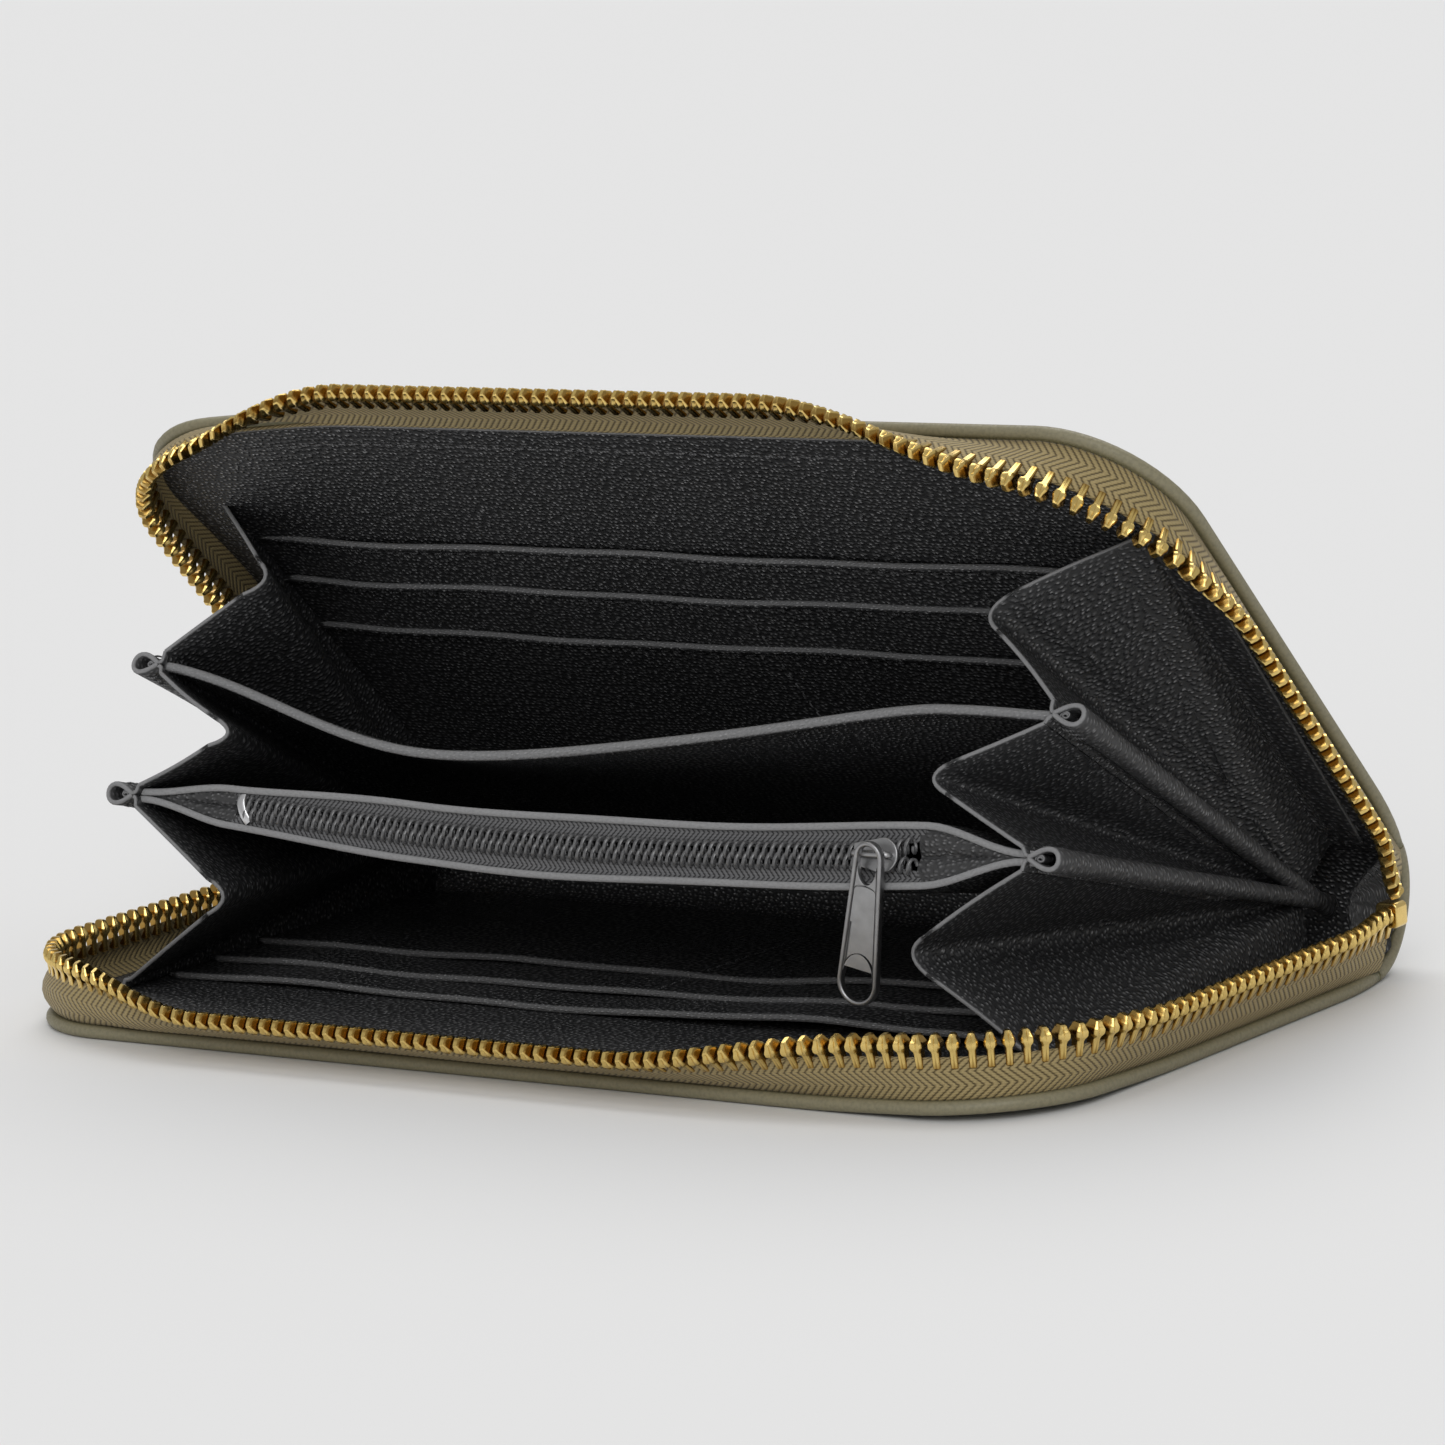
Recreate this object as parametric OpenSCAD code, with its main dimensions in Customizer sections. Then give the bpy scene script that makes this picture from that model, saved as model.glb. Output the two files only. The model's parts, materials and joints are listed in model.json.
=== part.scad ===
// Long zip-around wallet, standing open on its lower cover.
// X runs along the spine, Y from the mouth to the spine, Z up. The origin is at the centre of
// the lower cover's underside. Every sheet is drawn with the wallet shut, in hinge coordinates
// (the spine's fold axis is X through the origin, the mouth lies towards -Y), and is then
// swung about that axis to where it stands when the wallet is open.

/* [Covers] */
// Width of the covers along the spine
cover_w = 195; // [185:1:205]
// Depth of a cover from the spine's fold axis to the mouth
cover_d = 96.5; // [92:0.5:102]
// Radius of the two corners at the mouth
corner_r = 20; // [12:1:26]
// Thickness of the shut wallet
shut_t = 24; // [23:0.5:28]
// Angle between the covers as the wallet stands
open_angle = 49; // [40:0.5:56]
// Thickness of the outer leather
leather_t = 1.4; // [1:0.1:1.6]
// Thickness of the stiffening board under the lining
board_t = 0.6; // [0.4:0.1:0.8]
// Thickness of the lining
lining_t = 0.7; // [0.5:0.1:0.9]

/* [Card pockets] */
// Width of the card pockets
pocket_w = 173; // [160:0.5:173]
// Distance of the first pocket's edge from the fold axis
slip_edge = 67; // [62:0.2:70]
// Distance of the second pocket's edge from the fold axis
middle_edge = 57.2; // [52:0.2:60]
// Distance of the front pocket's edge from the fold axis
front_edge = 46; // [40:0.2:50]
// Thickness of one pocket layer
pocket_t = 0.5; // [0.4:0.1:0.6]

/* [Dividers] */
// Angle of the coin pocket above the lower cover
coin_angle = 18; // [14:0.5:20]
// Angle of the bill divider above the lower cover
bill_angle = 30; // [27:0.5:34]
// Distance of the dividers' free edges from the fold axis
divider_d = 75.4; // [70:0.2:78]
// Height of the zipped end of the coin pocket
coin_t = 6.5; // [5:0.1:6.8]

/* [Gussets] */
// Distance of the gussets' mouth ends from the fold axis
ridge_len = 76; // [72:1:79]
// Distance of the inward folds' mouth ends from the fold axis
valley_len = 78; // [74:1:81]
// Sector angles of the panels of the lower, middle and upper gusset
panel_sectors = [20, 17.5, 18]; // [16:0.5:22]
// Thickness of a gusset panel
panel_t = 0.35; // [0.3:0.05:0.5]

/* [Main zip] */
// Distance from tooth to tooth
tooth_pitch = 2.5; // [2:0.1:3]
// Lean of the lower mouth tape, outwards from upright
lower_lean = 60; // [0:1:65]
// Lean of the upper mouth tape, outwards from upright
upper_lean = 82; // [0:1:85]
// Length of the straight mouth tapes
mouth_tape_w = 152; // [140:1:153]
// Distance of the parked slider from the fold axis
slider_park = 17; // [16:0.5:20]

/* [Coin zip] */
// Length of the coin zip between the pocket's tapered ends
coin_zip_w = 121; // [100:1:122]
// Position of the coin slider along the zip
coin_slider_x = 58; // [-51:0.5:58]
// Length of the coin puller
coin_puller_len = 21.5; // [16:0.5:22]

/* [Hidden] */
$fn = 48;
hinge_y = cover_d / 2;
hinge_z = shut_t / 2;
lining_z = -hinge_z + leather_t + board_t;
pocket_z = lining_z + lining_t;
inner_z = pocket_z + 3 * pocket_t;
lining_inset = 3.6;

tape_t = 0.5;
tape_inset = 1.85;
tape_foot = 0.3;
lean_pivot_z = -hinge_z + leather_t + 0.7;
tape_edge_z = -3.2;
tooth_w = 1.15;
tooth_t = 2.0;
tooth_root_z = -3.8;
mouth_tip_z = 0.5;
side_tip_z = -0.35;
side_teeth_start = 12;
tape_start = 3;
// Gap between a side tape and the mouth tape
tape_gap = 0.25;
stop_size = [3.2, 3];

apex_x = 84.2;
ridge_x = 86.9;
// Heights of the dividers' mouth ends from the middle of the shut wallet
coin_z = -2.2;
bill_z = 2.8;
panel_root = 24;
panel_ridge_gap = 3.4;
panel_valley_gap = 2.3;
ridge_r = 1.2;
ridge_root_r = 0.35;
ridge_start = 14;
fin_t = 0.5;
// The dividers' thin side edges end short of the gussets' fan apex
web_end = apex_x - 1.4;
web_w = 4;
web_half = 0.22;
pocket_root = 6;
coin_root = 12;
bill_root = 17;

bill_t = 0.8;
coin_leather_t = 0.7;
// Half the coin pocket's height where its tapered ends meet
coin_shoulder_half = 1.7;
coin_root_half = 0.4;
coin_lining_depth = 34;
coin_lining_t = 0.6;
coin_tape_t = 0.5;
coil_r = 0.6;
coil_z = 0.85;
coin_slider_len = 6;
post_len = 2;
stud_cap_t = 0.5;

steel = [0.32, 0.32, 0.33];
brass = [0.83, 0.66, 0.26];
olive = [0.47, 0.45, 0.33];
khaki = [0.52, 0.44, 0.28];
black = [0.09, 0.09, 0.10];
inky = [0.14, 0.14, 0.15];

// Swings a sheet drawn in hinge coordinates to its place in the open wallet.
module swing(angle) {
    translate([0, hinge_y, hinge_z]) rotate([-angle, 0, 0]) children();
}

module lower_half() { swing(0) children(); }
module upper_half() { swing(open_angle) mirror([0, 0, 1]) children(); }

// ---- Covers ----

// A cover's outline, drawn in by inset, from the fold axis to the mouth.
module cover_outline(inset = 0) {
    w = cover_w - 2 * inset;
    r = corner_r - inset;
    mouth = inset - cover_d;
    translate([-w / 2, mouth + r]) square([w, cover_d - inset - r]);
    translate([r - w / 2, mouth]) square([w - 2 * r, r]);
    for (side = [-1, 1])
        translate([side * (w / 2 - r), mouth + r]) circle(r);
}

module cover_sheet(inset, z, t, back) {
    translate([0, 0, z])
        linear_extrude(t)
            difference() {
                cover_outline(inset);
                translate([-cover_w, -back]) square([2 * cover_w, cover_w]);
            }
}

module cover() { cover_sheet(0, -hinge_z, leather_t, 0); }
module board() { cover_sheet(lining_inset + 1, -hinge_z + leather_t, board_t, 2); }
module lining() { cover_sheet(lining_inset, lining_z, lining_t, 1); }

module pocket(layer, edge) {
    translate([-pocket_w / 2, -edge, pocket_z + layer * pocket_t])
        cube([pocket_w, edge - pocket_root, pocket_t]);
}

// A sheet bent round the fold axis from the lower cover to the upper one.
module spine_wrap(w, r, t) {
    translate([w / 2, hinge_y, hinge_z])
        rotate([0, -90, 0])
            rotate([0, 0, open_angle])
                rotate_extrude(angle = 180 - open_angle, $fn = 96)
                    translate([r - t, 0]) square([t, w]);
}

// ---- Main zip ----

module side_cut() {
    for (side = [-1, 1])
        translate([side * (mouth_tape_w / 2 + tape_gap + cover_w / 2), -cover_d / 2 - tape_start])
            square([cover_w, cover_d], center = true);
}

// The tape along both short sides and round both corners.
module side_tapes() {
    translate([0, 0, -hinge_z + leather_t])
        linear_extrude(tape_edge_z + hinge_z - leather_t)
            intersection() {
                difference() {
                    cover_outline(tape_inset - tape_t / 2);
                    cover_outline(tape_inset + tape_t / 2);
                }
                side_cut();
            }
}

module tooth(tip_z) {
    translate([-tooth_w / 2, -tooth_t / 2, tooth_root_z])
        cube([tooth_w, tooth_t, tip_z - tooth_root_z]);
}

// Teeth round one short side and its corner. start is the first tooth's place from the axis.
module side_teeth(start) {
    r = corner_r - tape_inset;
    straight = cover_d - corner_r;
    bend = r * 90 * PI / 180;
    flat_end = max(cover_w / 2 - corner_r - mouth_tape_w / 2 - tape_gap, 0);
    for (side = [-1, 1], s = [start : tooth_pitch : straight + bend + flat_end - tooth_w])
        to_side(side)
            if (s < straight)
                translate([cover_w / 2 - tape_inset, -s, 0]) rotate(90) tooth(side_tip_z);
            else if (s < straight + bend)
                translate([cover_w / 2 - corner_r, -straight, 0])
                    rotate(-(s - straight) / r * 180 / PI)
                        translate([r, 0, 0]) rotate(90) tooth(side_tip_z);
            else
                translate([cover_w / 2 - corner_r - (s - straight - bend), tape_inset - cover_d, 0])
                    tooth(side_tip_z);
}

// Mirrors what is drawn on the right to the left where side is -1.
module to_side(side) {
    if (side > 0) children();
    else mirror([1, 0, 0]) children();
}

// Leans what stands on the mouth edge outwards.
module lean(angle) {
    translate([0, tape_inset - cover_d, lean_pivot_z])
        rotate([angle, 0, 0])
            translate([0, cover_d - tape_inset, -lean_pivot_z])
                children();
}

module mouth_tape() {
    foot_z = lean_pivot_z + tape_foot;
    translate([-mouth_tape_w / 2, tape_inset - cover_d - tape_t / 2, foot_z])
        cube([mouth_tape_w, tape_t, tape_edge_z - foot_z]);
}

// shift moves the row by part of a pitch, so that the two rows interlock when shut.
module mouth_teeth(shift) {
    count = floor((mouth_tape_w / 2 - 2) / tooth_pitch);
    for (i = [-count : count - 1])
        translate([(i + shift) * tooth_pitch, tape_inset - cover_d, 0]) tooth(mouth_tip_z);
}

// ---- Gussets ----

function unit(v) = v / norm(v);

// Direction of a gusset's outward fold from the fan's apex, at an angle about the fold axis.
function ridge_dir(side, angle) = unit([
    side * (ridge_x - apex_x) / ridge_len,
    -cos(angle),
    sin(angle)
]);

// Direction of the inward fold between two outward folds, at the same sector angle from both.
function valley_dir(side, p, q, sector) =
    let (
        middle = unit(p + q),
        across = [-side, 0, 0],
        inward = unit(across - middle * (middle * across)),
        half_gap = acos(p * q) / 2,
        depth = acos(cos(sector) / cos(half_gap))
    )
    middle * cos(depth) + inward * sin(depth);

// Angles of the four outward folds about the fold axis, with the wallet open.
ridge_lift = [atan(inner_z / ridge_len), atan(coin_z / ridge_len),
              atan(bill_z / ridge_len), -atan(inner_z / ridge_len)];
ridge_angles = [ridge_lift[0], coin_angle + ridge_lift[1], bill_angle + ridge_lift[2],
                open_angle + ridge_lift[3]];

// A flat panel in the sector between an outward fold (ridge) and an inward fold (valley), clear
// of both. Its plate lies on the gap's side near the ridge and across the sector's plane near
// the valley, so that the folded gusset lies flat. face is +1 where the gap is on the side of
// cross(ridge, valley).
module panel(side, ridge, valley, face) {
    normal = unit(cross(ridge, valley)) * face;
    from_ridge = unit(valley - ridge * (ridge * valley));
    from_valley = unit(ridge - valley * (ridge * valley));
    corners = [
        ridge * panel_root + from_ridge * panel_ridge_gap,
        ridge * ridge_len + from_ridge * panel_ridge_gap,
        valley * valley_len + from_valley * panel_valley_gap,
        valley * panel_root + from_valley * panel_valley_gap
    ];
    low = [0, 0, -panel_t / 2, -panel_t / 2];
    points = concat(
        [for (i = [0 : 3]) corners[i] + normal * low[i]],
        [for (i = [0 : 3]) corners[i] + normal * (low[i] + panel_t)]
    );
    // The outline runs clockwise or anticlockwise about the plate's normal, by side and face.
    turn = (cross(corners[1] - corners[0], corners[3] - corners[0]) * normal) > 0;
    faces = [[0, 3, 2, 1], [4, 5, 6, 7], [0, 1, 5, 4], [1, 2, 6, 5], [2, 3, 7, 6], [3, 0, 4, 7]];
    color(black)
        translate([side * apex_x, hinge_y, hinge_z])
            polyhedron(points, turn ? [for (f = faces) [f[3], f[2], f[1], f[0]]] : faces);
}

// gusset is 1, 2 or 3 from the bottom. half 0 is its lower panel and 1 its upper panel.
module gusset_panel(side, gusset, half) {
    p = ridge_dir(side, ridge_angles[gusset - 1]);
    q = ridge_dir(side, ridge_angles[gusset]);
    v = valley_dir(side, p, q, panel_sectors[gusset - 1]);
    ridge = half == 0 ? p : q;
    gap_side = cross(ridge, v) * ((half == 0 ? q : p) - ridge) > 0 ? 1 : -1;
    panel(side, ridge, v, gap_side);
}

// The piping along an outward fold, thinner towards the spine.
module fold_rod(side, angle) {
    d = ridge_dir(side, angle);
    translate([side * apex_x, 0, 0])
        rotate([0, 0, atan2(d[1], d[0])])
            rotate([0, 90 - asin(d[2]), 0])
                translate([0, 0, ridge_start])
                    cylinder(h = ridge_len - ridge_start, r1 = ridge_root_r, r2 = ridge_r);
}

// The gussets' edges that stand on the lining, from the spine to the mouth.
module gusset_fins() {
    for (side = [-1, 1])
        translate([side * ridge_x - fin_t / 2, 0, 0])
            rotate([90, 0, 90])
                linear_extrude(fin_t)
                    polygon([
                        [-ridge_len, inner_z - 0.5 * pocket_t],
                        [-ridge_start, inner_z * ridge_start / ridge_len - 0.3],
                        [-ridge_start, pocket_z],
                        [-ridge_len, pocket_z]
                    ]);
}

// ---- Dividers ----

// The dividers' sheets lie on planes through the fold axis.
module bill_sheet() {
    full = 2 * (web_end - web_w);
    translate([-full / 2, -divider_d, -bill_t / 2])
        cube([full, divider_d - bill_root, bill_t]);
    translate([-web_end, -divider_d, -web_half])
        cube([2 * web_end, divider_d - bill_root, 2 * web_half]);
}

// Half the coin pocket's height at a distance from its middle, at the mouth.
coin_half = coin_t / 2;
coin_stations = [
    [coin_zip_w / 2 - 3, coin_half],
    [coin_zip_w / 2 + 1, coin_shoulder_half],
    [web_end - 1, web_half],
    [web_end, web_half]
];

// A tapered wall of the coin pocket, between two depths under the pocket's outer face.
module coin_wall(outer, inner, front) {
    n = len(coin_stations);
    profile = concat(
        [for (i = [n - 1 : -1 : 0]) [-coin_stations[i][0], coin_stations[i][1]]],
        coin_stations
    );
    m = len(profile);
    function height(h, cut) = max(h - cut, cut == 0 ? web_half : 0.02);
    function row(y, scale_h, cut) = [
        for (p = profile) [p[0], y, height(min(p[1], max(p[1] * scale_h, web_half)), cut)]
    ];
    root_scale = coin_root_half / coin_half;
    points = concat(
        row(-front, 1, outer), row(-coin_root, root_scale, outer),
        row(-front, 1, inner), row(-coin_root, root_scale, inner)
    );
    function quad(a, b, c, d) = [[a, b, c], [a, c, d]];
    top = [for (i = [0 : m - 2]) each quad(i, i + m, i + m + 1, i + 1)];
    bottom = [for (i = [0 : m - 2]) each quad(2 * m + i, 2 * m + i + 1, 3 * m + i + 1, 3 * m + i)];
    mouth = [for (i = [0 : m - 2]) each quad(i, i + 1, 2 * m + i + 1, 2 * m + i)];
    root = [for (i = [0 : m - 2]) each quad(m + i, 3 * m + i, 3 * m + i + 1, m + i + 1)];
    ends = concat(
        quad(0, 2 * m, 3 * m, m),
        quad(m - 1, 2 * m - 1, 4 * m - 1, 3 * m - 1)
    );
    polyhedron(points, concat(top, bottom, mouth, root, ends));
}

module coin_frame() { swing(ridge_angles[1]) children(); }
module coin_lower_frame() { coin_frame() mirror([0, 0, 1]) children(); }

coin_band_y = -divider_d - coin_tape_t;

module coin_tape() {
    translate([-coin_zip_w / 2 + 2, coin_band_y, coil_z - 0.3])
        cube([coin_zip_w - 4, coin_tape_t, coin_half - coil_z + 0.3]);
}

module coin_coil() {
    translate([-coin_zip_w / 2 + 4, coin_band_y - coil_r, coil_z])
        rotate([0, 90, 0]) cylinder(h = coin_zip_w - 8, r = coil_r, $fn = 24);
}

// ---- Sliders and pullers ----

// Two plates and the post that joins them, about a zip that runs along X with its face to -Y.
module slider_body(len, width, gap, plate_t, post_t) {
    for (y = [-gap / 2 - plate_t, gap / 2])
        translate([-len / 2, y, -width / 2]) cube([len, plate_t, width]);
    translate([len / 2 - post_len, -gap / 2, -post_t / 2]) cube([post_len, gap, post_t]);
}

// A flat pull tab that hangs from a bored eye at the origin, its face to -Y.
module puller_body(len, width, t, eye_r, slot_w) {
    rotate([90, 0, 0])
        linear_extrude(t)
            difference() {
                union() {
                    translate([0, -len + width / 2]) circle(width / 2);
                    translate([-width / 2, -len + width / 2]) square([width, len - width / 2]);
                    circle(width / 2);
                }
                circle(eye_r);
                translate([0, -len + width / 2]) circle(slot_w / 2);
                translate([-slot_w / 2, -len + width / 2]) square([slot_w, slot_w * 1.1]);
                translate([0, -len + width / 2 + slot_w * 1.1]) circle(slot_w / 2);
            }
}

coin_plate_t = 0.7;
coin_gap = 2.4;
stud_r = 0.8;
eye_clear = 0.06;
coin_puller_t = 0.9;
coin_puller_w = 6.6;
coin_slider_w = 2.4;
puller_slot_w = 3.8;
coin_stud_len = 2.4;
coin_face_y = coin_band_y + coin_tape_t - coin_gap - coin_plate_t;

function swung(y, z, angle) = [
    hinge_y + y * cos(angle) + z * sin(angle),
    hinge_z - y * sin(angle) + z * cos(angle)
];
coin_stud_yz = swung(coin_face_y, 0, ridge_angles[1]);

module coin_slider() {
    color(steel) {
        coin_frame()
            translate([coin_slider_x, coin_face_y + coin_plate_t + coin_gap / 2, 0])
                slider_body(coin_slider_len, coin_slider_w, coin_gap, coin_plate_t, 0.3);
        translate([coin_slider_x, coin_stud_yz[0] + 0.3, coin_stud_yz[1]])
            rotate([90, 0, 0]) {
                cylinder(h = coin_stud_len, r = stud_r);
                translate([0, 0, coin_stud_len]) cylinder(h = stud_cap_t, r = 1.5);
            }
    }
}

module coin_puller() {
    color(steel)
        translate([coin_slider_x, coin_stud_yz[0] - coin_stud_len + 0.35 + coin_puller_t,
                   coin_stud_yz[1]])
            puller_body(coin_puller_len, coin_puller_w, coin_puller_t, stud_r + eye_clear,
                        puller_slot_w);
}

main_plate_t = 0.9;
main_gap = 3;
main_slider_len = 10;
main_stud_x = -cover_w / 2 + tape_inset - main_gap / 2 - main_plate_t;
main_puller_t = 1.0;
main_puller_len = 26;
main_puller_w = 7;
main_puller_drop = 20;
main_stud_r = 1.0;
main_stud_len = 1.6;

module main_slider() {
    color(brass)
        lower_half() {
            translate([-cover_w / 2 + tape_inset, -slider_park, 0])
                rotate([0, 0, -90]) slider_body(main_slider_len, 9, main_gap, main_plate_t, 0.4);
            translate([main_stud_x, -slider_park, 0])
                rotate([0, -90, 0]) {
                    cylinder(h = main_stud_len, r = main_stud_r);
                    translate([0, 0, main_stud_len]) cylinder(h = stud_cap_t, r = 1.8);
                }
        }
}

module main_puller() {
    color(brass)
        lower_half()
            translate([main_stud_x - 0.3, -slider_park, 0])
                rotate([90 - main_puller_drop, 0, 0])
                    rotate([0, 0, -90])
                        puller_body(main_puller_len, main_puller_w, main_puller_t,
                                    main_stud_r + eye_clear, puller_slot_w);
}

// ---- Nodes ----

module lower_cover() { color(olive) lower_half() cover(); }
module lower_board() { color("tan") lower_half() board(); }
module lower_lining() { color(black) lower_half() lining(); }
module lower_slip_pocket() { color(inky) lower_half() pocket(0, slip_edge); }
module lower_middle_pocket() { color(black) lower_half() pocket(1, middle_edge); }
module lower_front_pocket() { color(inky) lower_half() pocket(2, front_edge); }
module lower_side_tapes() { color(khaki) lower_half() side_tapes(); }
module lower_side_teeth() { color(brass) lower_half() side_teeth(side_teeth_start); }
module spine_leather() { color(olive) spine_wrap(cover_w, hinge_z, leather_t); }
module spine_lining() {
    color(black) spine_wrap(cover_w - 2 * lining_inset, -lining_z - 0.05, lining_t);
}
module lower_gusset_fins() { color(black) lower_half() gusset_fins(); }
module zip_end_stop() {
    color(brass)
        lower_half()
            translate([cover_w / 2 - tape_inset - stop_size[0] / 2, -side_teeth_start + 2, tooth_root_z])
                cube([stop_size[0], stop_size[1], side_tip_z - tooth_root_z]);
}
module lower_mouth_tape() { color(khaki) lower_half() lean(lower_lean) mouth_tape(); }
module lower_mouth_teeth() { color(brass) lower_half() lean(lower_lean) mouth_teeth(0.25); }

module upper_cover() { color(olive) upper_half() cover(); }
module upper_board() { color("tan") upper_half() board(); }
module upper_lining() { color(black) upper_half() lining(); }
module upper_slip_pocket() { color(inky) upper_half() pocket(0, slip_edge); }
module upper_middle_pocket() { color(black) upper_half() pocket(1, middle_edge); }
module upper_front_pocket() { color(inky) upper_half() pocket(2, front_edge); }
module upper_side_tapes() { color(khaki) upper_half() side_tapes(); }
module upper_side_teeth() {
    color(brass) upper_half() side_teeth(side_teeth_start + tooth_pitch / 2);
}
module upper_gusset_fins() { color(black) upper_half() gusset_fins(); }
module upper_mouth_tape() { color(khaki) upper_half() lean(upper_lean) mouth_tape(); }
module upper_mouth_teeth() { color(brass) upper_half() lean(upper_lean) mouth_teeth(0.75); }

module bill_divider() { color(black) swing(ridge_angles[2]) bill_sheet(); }
module bill_divider_piping() {
    color(inky)
        translate([0, hinge_y, hinge_z])
            for (side = [-1, 1]) fold_rod(side, ridge_angles[2]);
}

module coin_lower_wall() { color(black) coin_lower_frame() coin_wall(0, coin_leather_t, divider_d); }
module coin_upper_wall() { color(black) coin_frame() coin_wall(0, coin_leather_t, divider_d); }
module coin_lower_lining() {
    color(inky) coin_lower_frame() coin_inner_lining();
}
module coin_upper_lining() {
    color(inky) coin_frame() coin_inner_lining();
}
module coin_inner_lining() {
    w = coin_zip_w - 6;
    drop = (coin_half - coin_root_half) * coin_lining_depth / (divider_d - coin_root);
    front_z = coin_half - coin_leather_t - 0.05;
    back = coin_lining_depth - divider_d;
    rotate([90, 0, 90])
        translate([0, 0, -w / 2])
            linear_extrude(w)
                polygon([
                    [-divider_d, front_z],
                    [-divider_d, front_z + 0.05 - coin_lining_t],
                    [back, front_z + 0.05 - drop - coin_lining_t],
                    [back, front_z - drop]
                ]);
}
module coin_lower_tape() { color(inky) coin_lower_frame() coin_tape(); }
module coin_upper_tape() { color(inky) coin_frame() coin_tape(); }
module coin_coils() {
    color(inky) {
        coin_frame() coin_coil();
        coin_lower_frame() coin_coil();
    }
}
module coin_top_stop() {
    color("silver")
        coin_frame()
            translate([-coin_zip_w / 2 + 2.2, coin_band_y - 2 * coil_r, -coil_z - coil_r])
                cube([1.6, 2 * coil_r, 2 * (coil_z + coil_r)]);
}
module coin_pocket_piping() {
    color(inky)
        translate([0, hinge_y, hinge_z])
            for (side = [-1, 1]) fold_rod(side, ridge_angles[1]);
}

lower_cover();
lower_board();
lower_lining();
lower_slip_pocket();
lower_middle_pocket();
lower_front_pocket();
lower_side_tapes();
lower_side_teeth();
spine_leather();
spine_lining();
lower_gusset_fins();
zip_end_stop();
lower_mouth_tape();
lower_mouth_teeth();
upper_cover();
upper_board();
upper_lining();
upper_slip_pocket();
upper_middle_pocket();
upper_front_pocket();
upper_side_tapes();
upper_side_teeth();
upper_gusset_fins();
upper_mouth_tape();
upper_mouth_teeth();
bill_divider();
bill_divider_piping();
coin_lower_wall();
coin_upper_wall();
coin_lower_lining();
coin_upper_lining();
coin_lower_tape();
coin_upper_tape();
coin_coils();
coin_top_stop();
coin_pocket_piping();
coin_slider();
coin_puller();
main_slider();
main_puller();
gusset_panel(1, 1, 0);  // gusset_right_1a
gusset_panel(1, 1, 1);  // gusset_right_1b
gusset_panel(1, 2, 0);  // gusset_right_2a
gusset_panel(1, 2, 1);  // gusset_right_2b
gusset_panel(1, 3, 0);  // gusset_right_3a
gusset_panel(1, 3, 1);  // gusset_right_3b
gusset_panel(-1, 1, 0);  // gusset_left_1a
gusset_panel(-1, 1, 1);  // gusset_left_1b
gusset_panel(-1, 2, 0);  // gusset_left_2a
gusset_panel(-1, 2, 1);  // gusset_left_2b
gusset_panel(-1, 3, 0);  // gusset_left_3a
gusset_panel(-1, 3, 1);  // gusset_left_3b
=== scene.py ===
"""Looks of the zip-around wallet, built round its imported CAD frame.

Lengths here are millimetres and are turned into metres when a mesh is made. Most sheets are
drawn with the wallet shut, in hinge coordinates (X along the spine, the mouth towards -Y, the
fold axis through the origin), and are swung to where they stand when the wallet is open.
"""
import json
import math

import bmesh
import bpy
import numpy as np
from mathutils import Matrix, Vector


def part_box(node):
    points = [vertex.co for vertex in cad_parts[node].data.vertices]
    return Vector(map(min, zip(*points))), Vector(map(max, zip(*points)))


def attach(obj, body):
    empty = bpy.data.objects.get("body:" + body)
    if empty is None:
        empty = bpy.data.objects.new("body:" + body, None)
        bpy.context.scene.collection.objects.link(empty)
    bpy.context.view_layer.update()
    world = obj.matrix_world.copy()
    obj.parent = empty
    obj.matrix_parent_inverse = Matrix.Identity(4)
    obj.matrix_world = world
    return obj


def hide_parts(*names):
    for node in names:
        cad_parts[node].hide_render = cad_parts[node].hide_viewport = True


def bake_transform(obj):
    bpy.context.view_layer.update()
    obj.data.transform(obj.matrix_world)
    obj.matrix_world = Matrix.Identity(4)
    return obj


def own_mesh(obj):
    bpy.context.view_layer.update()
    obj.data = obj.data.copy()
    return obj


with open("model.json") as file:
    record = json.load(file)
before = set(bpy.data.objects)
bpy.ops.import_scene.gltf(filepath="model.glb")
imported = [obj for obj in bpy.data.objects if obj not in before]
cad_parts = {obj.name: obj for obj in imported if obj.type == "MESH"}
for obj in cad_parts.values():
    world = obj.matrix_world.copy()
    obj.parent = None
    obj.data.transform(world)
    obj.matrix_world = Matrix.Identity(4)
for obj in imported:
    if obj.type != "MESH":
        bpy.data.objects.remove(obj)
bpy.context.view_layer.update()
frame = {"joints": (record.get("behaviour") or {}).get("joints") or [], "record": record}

MM = 0.001
JOINTS = {joint["name"]: joint for joint in frame["joints"]}
RATIO = {c["joint"]: c["ratio"] for c in frame["record"]["behaviour"]["couplings"]}


def mm_box(node):
    low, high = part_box(node)
    return np.array(low) / MM, np.array(high) / MM


# ---- Driving sizes, from the frame ----

COVER_LOW, COVER_HIGH = mm_box("lower_cover")
COVER_W = COVER_HIGH[0] - COVER_LOW[0]
COVER_D = COVER_HIGH[1] - COVER_LOW[1]
LEATHER_T = COVER_HIGH[2] - COVER_LOW[2]
HINGE = np.array(JOINTS["cover_open"]["pos_m"]) / MM
SHUT_HALF = HINGE[2]
OPEN_ANGLE = -JOINTS["cover_open"]["range_deg"][0]
COIN_SWING = OPEN_ANGLE * RATIO["coin_pocket_swing"]
BILL_SWING = OPEN_ANGLE * RATIO["bill_divider_swing"]

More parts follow.
